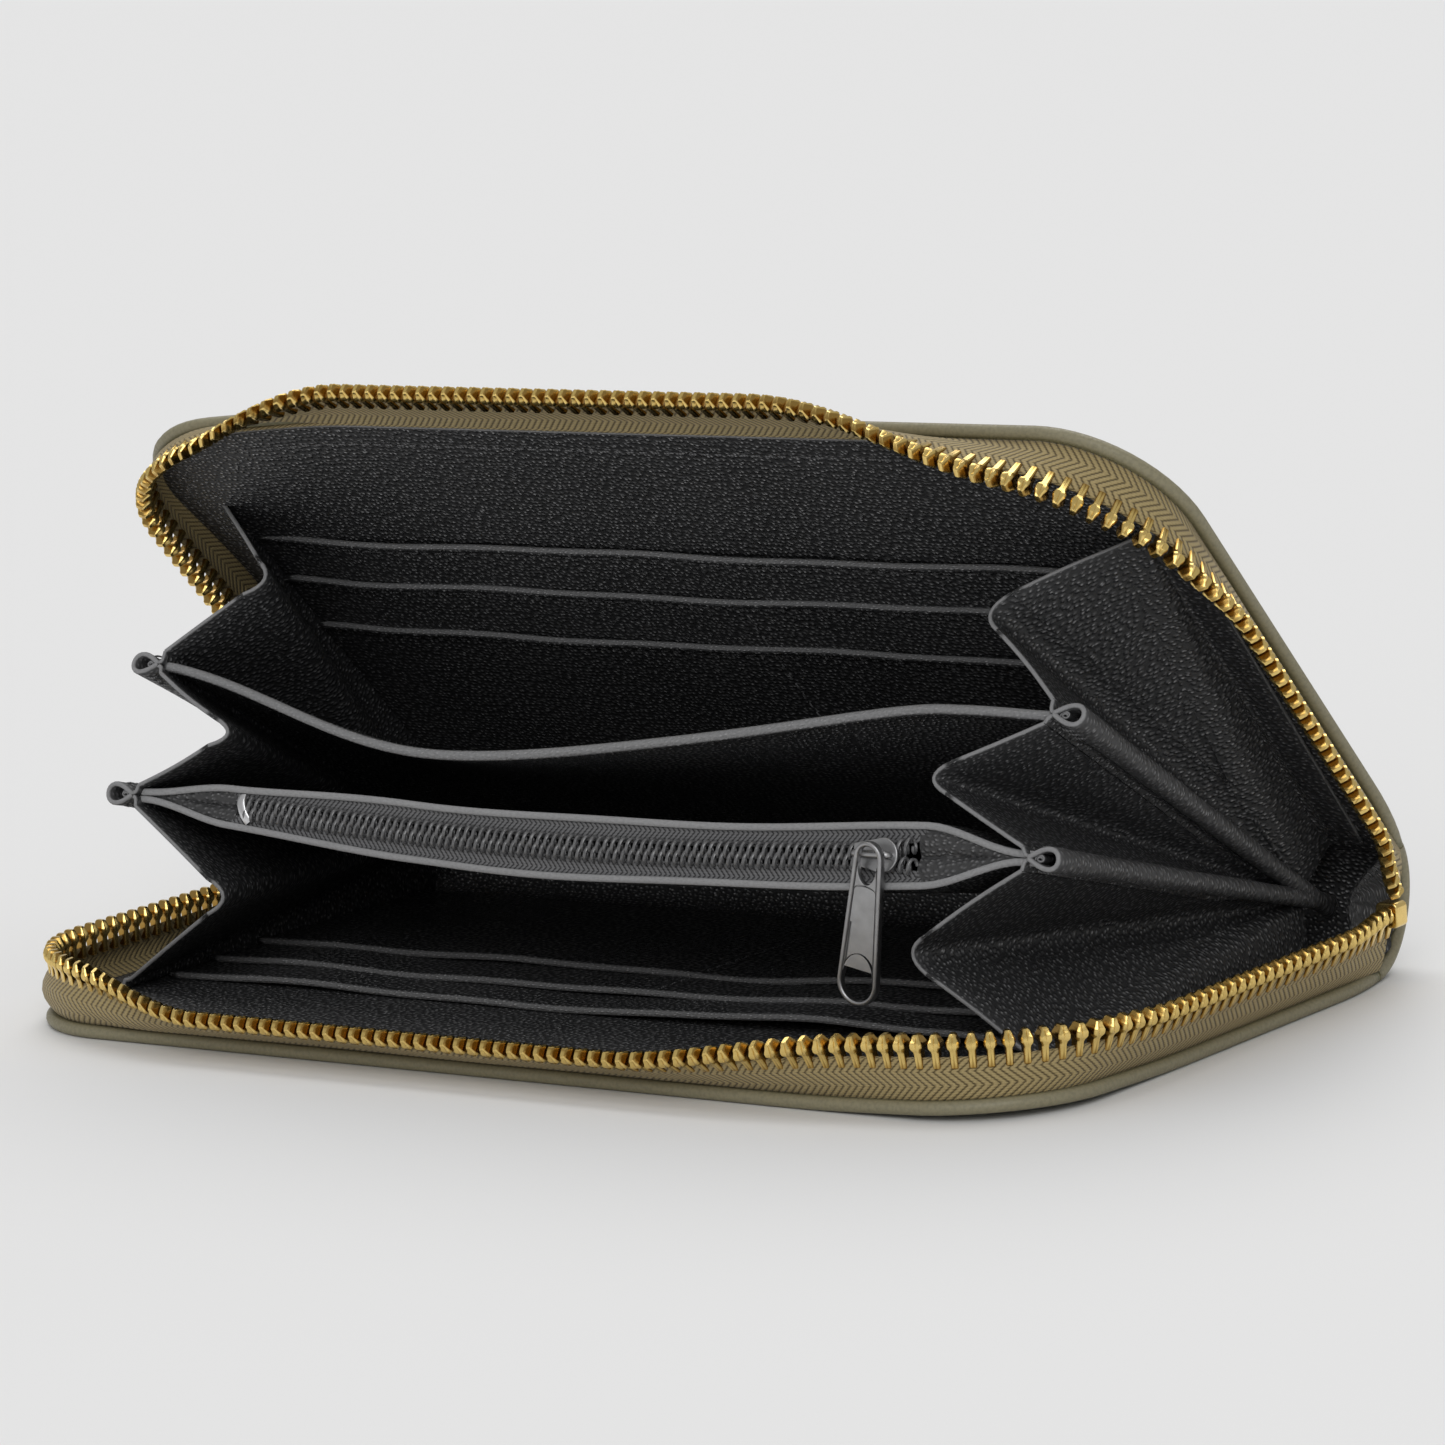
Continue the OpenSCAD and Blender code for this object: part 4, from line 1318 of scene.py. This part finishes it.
def divider_grid(depths, trim, columns):
    """X and the distance from the fold axis of a sheet between the fans at both ends.

    depths are measured from the sheet's front edge, and trim is left free at each end.
    """
    rho = DIVIDER_D - depths
    x = (ridge_x(rho) - trim)[:, None] * np.linspace(-1, 1, columns)[None]
    return x, np.broadcast_to(rho[:, None], x.shape)


def bill_sag(x, rho):
    """The bill divider's edge hangs down, deepest left of its middle."""
    u = (x - BILL_SAG_X) / np.where(x < BILL_SAG_X, 60.0, 88.0)
    bow = np.cos(np.pi / 2 * np.clip(np.abs(u), 0, 1)) ** 1.4
    share = np.clip(rho - BILL_SAG_FROM, 0, None) / (DIVIDER_D - BILL_SAG_FROM)
    return BILL_SAG * bow * share ** 1.5


def make_bill_divider():
    edge = np.array([0, 0.3, 0.7, 1.1, 1.6, 2.2, 3.0, 4.5])
    x, rr = divider_grid(np.r_[edge, np.linspace(7, DIVIDER_D - 15, 18)], DIVIDER_TRIM, 90)
    e = DIVIDER_D - rr
    groove = 0.15 * np.exp(-(((e - DIVIDER_SEAM) / 0.5) ** 2))
    t = DIVIDER_T + DIVIDER_FOLD_T * np.exp(-((e / 1.25) ** 4)) - groove
    ripple = 0.25 * np.sin(x / 11 + 1) * smooth(rr / 75) * smooth((x[:, -1:] - np.abs(x)) / 15)
    grid = bill_place(np.stack([x, -rr, ripple - bill_sag(x, rr)], -1))
    normal = facing(bill_place)
    # The folded front edge takes 0.7 of the pale cut colour: a painted highlight along the fold
    flap = sheet("bill_divider_sheet", BLACK, grid, t, None, (1, 0.3, 0, 0.3), (0.7, 0, 0, 0), 6,
                 body="bill_divider", slot="inner_leather", replaces=["bill_divider"])
    squash_divider(flap)
    line_x = np.linspace(-80, 80, 160)
    rho = np.full(len(line_x), DIVIDER_D - DIVIDER_SEAM)
    ripple = 0.25 * np.sin(line_x / 11 + 1)
    line = bill_place(np.stack([line_x, -rho, ripple - bill_sag(line_x, rho) + 0.34], -1))
    seam = stitches("bill_divider_stitches", line, normal, "bill_divider", THREAD)
    squash_divider(seam)


def squash_divider(obj):
    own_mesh(obj)


# ---- Coin pocket ----

WINDOW_HALF = 66.0
COIN_WALL_T = 1.1
COIN_BAND_DEPTH = 0.55
COIN_FOLD = 48
COIN_SAG = 3.2
COIN_LINING_T = 0.2
COIN_LINING_TRIM = 4.0
COIN_TAPE_T = 0.45
BRIDGE_T = 0.6


def coin_place(points):
    return swing(points, RIDGE_ANGLES[1])


def coin_sag(x, rho):
    """The middle of the coin pocket hangs a little between its stitched sides."""
    bow = np.cos(np.pi / 2 * np.clip(np.abs(x) / 82, 0, 1)) ** 1.2
    return COIN_SAG * bow * smooth((rho - 25) / 50)


def coin_half_height(x):
    """Half the opening between the walls' front edges."""
    middle = 3.7 - 1.5 * smooth((-x - 30) / 36)
    return middle * smooth((83.5 - np.abs(x)) / 17.5)


COIN_DEPTHS = np.array([0, 0.3, 0.8, 1.5, 2.5, 4.0])


def soft_coin_piece(name, shape, material, slot, nodes):
    """A piece of the coin pocket, riding on it with a mesh of its own."""
    obj = piece(name, shape, material, "coin_pocket", slot, nodes)
    normal = facing(coin_place)
    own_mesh(obj)


def coin_sheet(name, material, slot, nodes, *slab_values, rim=4):
    shape = Shape()
    slab(shape, *slab_values, rim=rim)
    soft_coin_piece(name, shape, material, slot, nodes)


def coin_close(rho):
    """How open the coin pocket still is at a distance from the fold axis."""
    return 1 - smooth((DIVIDER_D - rho - 3) / COIN_FOLD)


def coin_wall(name, way, node):
    """One wall of the coin pocket. way is 1 for the upper wall."""
    depths = np.r_[COIN_DEPTHS, np.linspace(7, DIVIDER_D - 14, 16)]
    x, rr = divider_grid(depths, DIVIDER_TRIM, 100)
    apart = np.maximum(coin_half_height(x) * coin_close(rr), 0) + COIN_WALL_T / 2 + 0.02
    ripple = 0.18 * np.sin(x / 9 + way) * smooth((80 - np.abs(x)) / 20) * smooth(rr / 70)
    z = way * apart - coin_sag(x, rr) + ripple
    coin_sheet(name, BLACK, "inner_leather", [node], coin_place(np.stack([x, -rr, z], -1)),
               COIN_WALL_T, None, (0.55, 0.3, 0, 0.3), (1, 0, 0, 0), rim=6)


def coin_lining(name, way, node):
    """The cloth inside one wall of the coin pocket."""
    depths = np.r_[4.2, np.linspace(7, DIVIDER_D - 16, 14)]
    x, rr = divider_grid(depths, COIN_LINING_TRIM, 60)
    apart = np.maximum(coin_half_height(x) * coin_close(rr), 0.02)
    z = way * apart - coin_sag(x, rr) - way * 0.12
    coin_sheet(name, CLOTH, "pocket_lining", [node], coin_place(np.stack([x, -rr, z], -1)),
               COIN_LINING_T, None, NO_SIDE, NO_SIDE)


def coin_front(x, z, depth):
    """A point of the coin zip's face: z from its centre line, depth behind the walls' edges."""
    rho = np.full_like(x, DIVIDER_D) - depth
    return coin_place(np.stack([x, -rho, z - coin_sag(x, rho)], -1))


COIL_R = 0.75
COIL_WIRE_R = 0.29
COIL_LOOP = 1.1
COIL_PITCH = 1.4
COIN_SLIDER_X = sum(mm_box("coin_slider"))[0] / 2


def coil_gap(x):
    """How far each coil lies from the zip's centre line. They part beyond the slider."""
    return 0.8 + 0.9 * smooth((x - COIN_SLIDER_X) / 7)


def make_coin_zip():
    for way, name in ((1, "upper"), (-1, "lower")):
        x = np.linspace(-WINDOW_HALF + 0.6, WINDOW_HALF - 0.3, 120)
        height = coin_half_height(x) + 0.35
        f = np.linspace(0, 1, 7)[:, None]
        inner = coil_gap(x) + 0.5
        z = way * (inner[None] + (height - inner)[None] * f)
        depth = COIN_BAND_DEPTH + 0.25 * (1 - f) + 0 * x[None]
        grid = coin_front(np.broadcast_to(x, z.shape), z, depth)
        coin_sheet(f"coin_tape_{name}", BLACK_TAPE, "coin_zip_tape", [f"coin_{name}_tape"], grid,
                   COIN_TAPE_T, paired(x, np.abs(z)), (0.5, 0, 0, 0), NO_SIDE)

        turns = (2 * WINDOW_HALF - 5) / COIL_PITCH
        a = np.linspace(0, turns, int(turns * 14))
        x = -WINDOW_HALF + 3.5 + a * COIL_PITCH
        phase = 2 * np.pi * a + (np.pi if way < 0 else 0)
        z = way * (coil_gap(x) - 0.1) + COIL_LOOP * np.cos(phase)
        depth = COIN_BAND_DEPTH - 0.4 + COIL_R * np.sin(phase)
        path = coin_front(x, z, depth)
        shape = Shape()
        tube(shape, path, COIL_WIRE_R, (1, 0, 0), 6)
        swaps = ["coin_coils"] if way > 0 else []
        soft_coin_piece(f"coin_coil_{name}", shape, COIL, "coil", swaps)


def make_coin_stop():
    """The bent metal strip at the closed end of the coin zip."""
    half = 1.9
    z = np.linspace(-half, half, 9)
    bow = 0.9 * (1 - (z / half) ** 2)
    x = -WINDOW_HALF + 3.6 - 0.45 * z - bow * 0.4
    path = coin_front(x, z, -0.35 + 0.5 * (np.abs(z) / half) ** 3)
    shape = Shape()
    profile = [(1.0, 0.4), (0.8, 0.62), (-0.8, 0.62), (-1.0, 0.4), (-1.0, -0.4), (1.0, -0.4)]
    tube(shape, path, 0.75, unit(coin_front(0, 0, 0) - coin_front(0, 0, 1)), profile=profile)
    soft_coin_piece("coin_zip_top_stop", shape, STEEL, "stop_metal", ["coin_top_stop"])


def make_coin_bridge():
    """The leather that closes the pocket's front beyond each end of the zip."""
    for way in (1, -1):
        x = way * np.r_[WINDOW_HALF - 1.2, np.linspace(WINDOW_HALF, 84.0, 16)]
        half = coin_half_height(x) + 0.3
        f = np.linspace(-1, 1, 11)[:, None]
        z = half[None] * f
        crease = 0.8 * np.exp(-((f / 0.22) ** 2)) * smooth((half - 0.6) / 1.5)[None]
        depth = 0.75 + crease + 0 * x[None]
        coin_sheet(f"coin_front_bridge_{SIDE_NAMES[way]}", PIPING, "inner_leather", [],
                   coin_front(np.broadcast_to(x, z.shape), z, depth), BRIDGE_T, None, NO_SIDE,
                   NO_SIDE)


# ---- Sliders and pullers ----

METAL_SHARP = 40
PULL_TOP_R = 2.45
PULL_LOW_R = 3.5
PULL_GAP = 18.9
PULL_TOP_Y = -0.25
BAR_LIFT = 1.75

def arc_points(centre, radius, start, end, count=14):
    a = np.radians(np.linspace(start, end, count))
    return [(centre[0] + radius * math.cos(t), centre[1] + radius * math.sin(t)) for t in a]


def plate_mesh(name, loops, thickness, bevel):
    """A bevelled flat plate. The first loop is its outline and the others are holes."""
    curve = bpy.data.curves.new(name, "CURVE")
    curve.dimensions = "2D"
    curve.fill_mode = "BOTH"
    curve.extrude = (thickness / 2 - bevel) * MM
    curve.bevel_depth = bevel * MM
    curve.bevel_resolution = 3
    curve.offset = -bevel * MM
    for loop in loops:
        spline = curve.splines.new("POLY")
        spline.points.add(len(loop) - 1)
        flat = [c for x, y in loop for c in (x * MM, y * MM, 0, 1)]
        spline.points.foreach_set("co", flat)
        spline.use_cyclic_u = True
    holder = bpy.data.objects.new(name, curve)
    mesh = bpy.data.meshes.new_from_object(holder)
    bpy.data.objects.remove(holder)
    bpy.data.curves.remove(curve)
    mesh.name = name
    edge = mesh.attributes.new("edge", "FLOAT", "POINT")
    edge.data.foreach_set("value", np.ones(len(mesh.vertices), np.float32))
    return shaded(mesh, METAL_SHARP)


def placing(x, y, z, origin):
    """The matrix whose axes are x, y and z, with its origin in millimetres."""
    matrix = np.eye(4)
    matrix[:3] = np.stack([x, y, z, np.asarray(origin, float) * MM], 1)
    return Matrix(matrix.tolist())


def seat(mesh, origin, x, y, z):
    """Moves a mesh drawn about the origin to its place. The axes are those of the drawing."""
    mesh.transform(placing(x, y, z, origin))
    return mesh


def pull_outline(inset=0.0):
    """Outline of a pull tab, round a small circle at its top and a larger one below."""
    a = math.degrees(math.asin((PULL_LOW_R - PULL_TOP_R) / PULL_GAP))
    top = arc_points((0, PULL_TOP_Y), PULL_TOP_R - inset, a, 180 - a, 16)
    low = arc_points((0, PULL_TOP_Y - PULL_GAP), PULL_LOW_R - inset, 180 - a, 360 + a, 16)
    return top + low


def pull_half_width(y, inset):
    share = (PULL_TOP_Y - y) / PULL_GAP
    return PULL_TOP_R + (PULL_LOW_R - PULL_TOP_R) * share - inset


def tab_outline(top, low, inset, notch, hole):
    """Half of a puller's face: hollowed by notch at its top and by hole at its bottom."""
    left = [(-pull_half_width(y, inset), y) for y in np.linspace(top, low, 6)]
    right = [(x * -1, y) for x, y in left[::-1]]
    w_low, w_top = pull_half_width(low, inset), pull_half_width(top, inset)
    turn = np.linspace(0, math.pi, 16)[1:-1]
    arch = [(-w_low * math.cos(t), low + hole * math.sin(t)) for t in turn]
    dip = [(w_top * math.cos(t), top - notch * math.sin(t)) for t in turn]
    return left + arch + right + dip


def joined(name, meshes):
    """One mesh out of several."""
    bm = bmesh.new()
    for mesh in meshes:
        bm.from_mesh(mesh)
        bpy.data.meshes.remove(mesh)
    made = bpy.data.meshes.new(name)
    bm.to_mesh(made)
    bm.free()
    return shaded(made, METAL_SHARP)


def puller_mesh(name):
    """A pull tab in the XY plane, hung from the origin, with a raised rim and a hollow end."""
    rim = [pull_outline(), pull_outline(0.72)]
    face_top = tab_outline(-1.3, -5.2, 0.84, 3.0, 0.75)
    face_low = tab_outline(-5.34, -18.6, 0.84, -0.75, 3.7)
    back = tab_outline(-1.5, -18.5, 0.45, 3.1, 3.7)
    parts = [plate_mesh(name, rim, 1.3, 0.3), plate_mesh(name, [face_top], 0.95, 0.08),
             plate_mesh(name, [face_low], 0.95, 0.08), plate_mesh(name, [back], 0.5, 0.05)]
    return joined(name, parts)


def rounded_box(w, h, r):
    """Outline of a rectangle with round corners."""
    loop = []
    for (x, y), start in (((1, 1), 0), ((-1, 1), 90), ((-1, -1), 180), ((1, -1), 270)):
        loop += arc_points((x * (w / 2 - r), y * (h / 2 - r)), r, start, start + 90, 6)
    return loop


def slider_mesh(name, length, width, gap):
    """A zip slider in the XY plane, face to +Z: two plates, their post and a bail."""
    nose = [(-length / 2, -0.3 * width), (-length / 2, 0.3 * width)]
    swell = arc_points((length / 2 - 0.42 * width, 0), width / 2, 100, -100, 18)
    outline = nose + swell
    parts = []
    for z in (gap / 2 + 0.35, -gap / 2 - 0.35):
        plate = plate_mesh(name, [outline], 0.7, 0.2)
        parts.append(seat(plate, (0, 0, z), (1, 0, 0), (0, 1, 0), (0, 0, 1)))
    shape = Shape()
    bar_z = gap / 2 + BAR_LIFT
    x = length / 2 - 0.7
    bail = [(-x, 0, gap / 2 + 0.4), (-x, 0, bar_z - 0.5), (-x + 0.5, 0, bar_z), (x - 0.6, 0, bar_z),
            (x, 0, bar_z - 0.5), (x, 0, gap / 2 + 0.4)]
    tube(shape, chaikin(bail), 0.62, (0, 1, 0), 10, edge=1.0)
    tube(shape, [(x - 0.2, 0, -gap / 2), (x - 0.2, 0, gap / 2)], 0.35, (1, 0, 0), edge=1.0)
    parts.append(shape.mesh(name, METAL_SHARP))
    return joined(name, parts)


COIN_SLIDER_GAP = 1.5
MAIN_SLIDER_GAP = 3.4
COIN_PULL_TILT = -11
MAIN_PULL_DROP = -20


def make_coin_slider():
    pivot = np.array(JOINTS["coin_puller_swing"]["pos_m"]) / MM
    a = math.radians(RIDGE_ANGLES[1])
    face = np.array([0, -math.cos(a), math.sin(a)])
    rise = np.array([0, math.sin(a), math.cos(a)])
    centre = coin_front(np.array([COIN_SLIDER_X]), np.array([0.1]), np.array([0.35]))[0]
    mesh = slider_mesh("coin_slider_body", 7.4, 5.2, COIN_SLIDER_GAP)
    seat(mesh, centre, (1, 0, 0), rise, face)
    piece("coin_slider_body", mesh, GUNMETAL, "coin_slider", "gunmetal", ["coin_slider"])

    tilt = math.radians(COIN_PULL_TILT)
    hang = np.array([math.sin(tilt), 0, -math.cos(tilt)])
    across = np.array([math.cos(tilt), 0, math.sin(tilt)])
    mesh = puller_mesh("coin_puller_tab")
    bar = centre + face * (COIN_SLIDER_GAP / 2 + BAR_LIFT)
    seat(mesh, np.array([bar[0], pivot[1] - 0.2, bar[2]]) + across * 0.6, across, -hang,
         np.cross(across, -hang))
    piece("coin_puller_tab", mesh, GUNMETAL, "coin_puller", "gunmetal", ["coin_puller"])


def make_main_slider():
    y = sum(mm_box("main_slider"))[1] / 2
    centre = np.array([TAPE_INSET - COVER_W / 2, y, HINGE[2]])
    mesh = slider_mesh("main_slider_body", 11.0, 8.6, MAIN_SLIDER_GAP)
    seat(mesh, centre, (0, 1, 0), (0, 0, 1), (-1, 0, 0))
    piece("main_slider_body", mesh, PLAIN_BRASS, "main_slider", "brass", ["main_slider"])

    drop = math.radians(MAIN_PULL_DROP)
    hang = np.array([0, math.cos(drop), math.sin(drop)])
    face = np.array([-1.0, 0, 0])
    mesh = puller_mesh("main_puller_tab")
    bar = centre + face * (MAIN_SLIDER_GAP / 2 + BAR_LIFT)
    seat(mesh, bar, np.cross(-hang, face), -hang, face)
    piece("main_puller_tab", mesh, PLAIN_BRASS, "main_puller", "brass", ["main_puller"])


def make_end_stop(zip_half):
    """The clip that holds both rows together at the right end of the spine."""
    size = np.ptp(mm_box("zip_end_stop"), axis=0)
    loop = rounded_box(size[0] + 0.6, size[2] + 0.4, 0.8)
    mesh = plate_mesh("zip_end_clip", [loop], size[1], 0.3)
    centre = zip_half.place(-0.4, 0.0, -0.9)
    seat(mesh, centre, (1, 0, 0), (0, 0, 1), (0, -1, 0))
    piece("zip_end_clip", mesh, PLAIN_BRASS, "lower_cover", "brass", ["zip_end_stop"])


# ---- Build ----

for half_name in HALVES:
    make_cover(half_name)
make_spine()
make_spine_ends()
for half_name in HALVES:
    make_board(half_name)
    make_lining(half_name)
    make_edge_seams(half_name)
    make_pockets(half_name)
    make_tape_foot(half_name)
for zip_half in ZIP_HALVES:
    make_tape(zip_half)
    make_teeth(zip_half)
make_gussets()
for number, label, body in ((1, "coin_pocket", "coin_pocket"), (2, "bill", "bill_divider")):
    for side in SIDE_NAMES:
        make_pinch(side, number, label, body)
make_bill_divider()
for make_side, what, stuff in ((coin_wall, "wall", "leather"), (coin_lining, "lining", "cloth")):
    for way, name in ((1, "upper"), (-1, "lower")):
        make_side(f"coin_{name}_{what}_{stuff}", way, f"coin_{name}_{what}")
make_coin_zip()
make_coin_stop()
make_coin_bridge()
make_coin_slider()
make_main_slider()
make_end_stop(ZIP_HALVES[0])

# ---- Stage, light and camera ----


def make_floor():
    mesh = bpy.data.meshes.new("floor")
    z = -0.02 * MM
    corners = [(-4, -4, z), (4, -4, z), (4, 4, z), (-4, 4, z)]
    mesh.from_pydata(corners, [], [(0, 1, 2, 3)])
    floor = add_object("floor", mesh)
    n = Nodes("floor_paper")
    n.put(n.shader.inputs["Base Color"], rgb(0.8, 0.8, 0.8))
    n.put(n.shader.inputs["Roughness"], 0.95)
    n.put(n.shader.inputs["Specular IOR Level"], 0.1)
    mesh.materials.append(n.material)


def look_at(obj, place, target):
    """Puts an object at place, with its -Z axis towards target and no roll."""
    place, target = np.array(place, float), np.array(target, float)
    back = unit(place - target)
    right = unit(np.cross((0, 0, 1.0), back))
    obj.matrix_world = placing(right, np.cross(back, right), back, place)


def make_sun(name, place, strength, spread):
    """A broad soft light that shines from place towards the origin."""
    light = bpy.data.lights.new(name, "SUN")
    light.energy = strength
    light.angle = math.radians(spread)
    obj = add_object(name, light)
    look_at(obj, place, (0, 0, 0))


CAMERA_TARGET = np.array([-53.0, 84.7, 25.7])
CAMERA_TURN, CAMERA_RISE, CAMERA_ROLL = math.radians(37.79), math.radians(10.13), math.radians(-4.4)
CAMERA_DIST = 1160.0
CAMERA_LENS = 174.4


def make_camera():
    """Stands to the right of the mouth, a little above it."""
    ahead = np.array([-math.sin(CAMERA_TURN) * math.cos(CAMERA_RISE),
                      math.cos(CAMERA_TURN) * math.cos(CAMERA_RISE), -math.sin(CAMERA_RISE)])
    right = np.array([math.cos(CAMERA_TURN), math.sin(CAMERA_TURN), 0])
    up = np.cross(right, ahead)
    c, s = math.cos(CAMERA_ROLL), math.sin(CAMERA_ROLL)
    place = CAMERA_TARGET - ahead * CAMERA_DIST
    camera = bpy.data.cameras.new("camera")
    camera.lens = CAMERA_LENS
    camera.sensor_width = 36
    camera.clip_end = 20
    obj = add_object("camera", camera)
    obj.matrix_world = placing(right * c + up * s, up * c - right * s, -ahead, place)
    bpy.context.scene.camera = obj


def make_world():
    world = bpy.data.worlds.new("studio")
    world.use_nodes = True
    ground = world.node_tree.nodes["Background"]
    ground.inputs["Color"].default_value = rgb(1.0, 1.0, 1.0)
    ground.inputs["Strength"].default_value = 0.42
    bpy.context.scene.world = world


bpy.context.scene.view_settings.view_transform = "Standard"
make_floor()
make_world()
make_camera()
make_sun("key_sun", (-260, 420, 800), 1.4, 50)
make_sun("front_sun", (420, -700, 560), 1.0, 40)
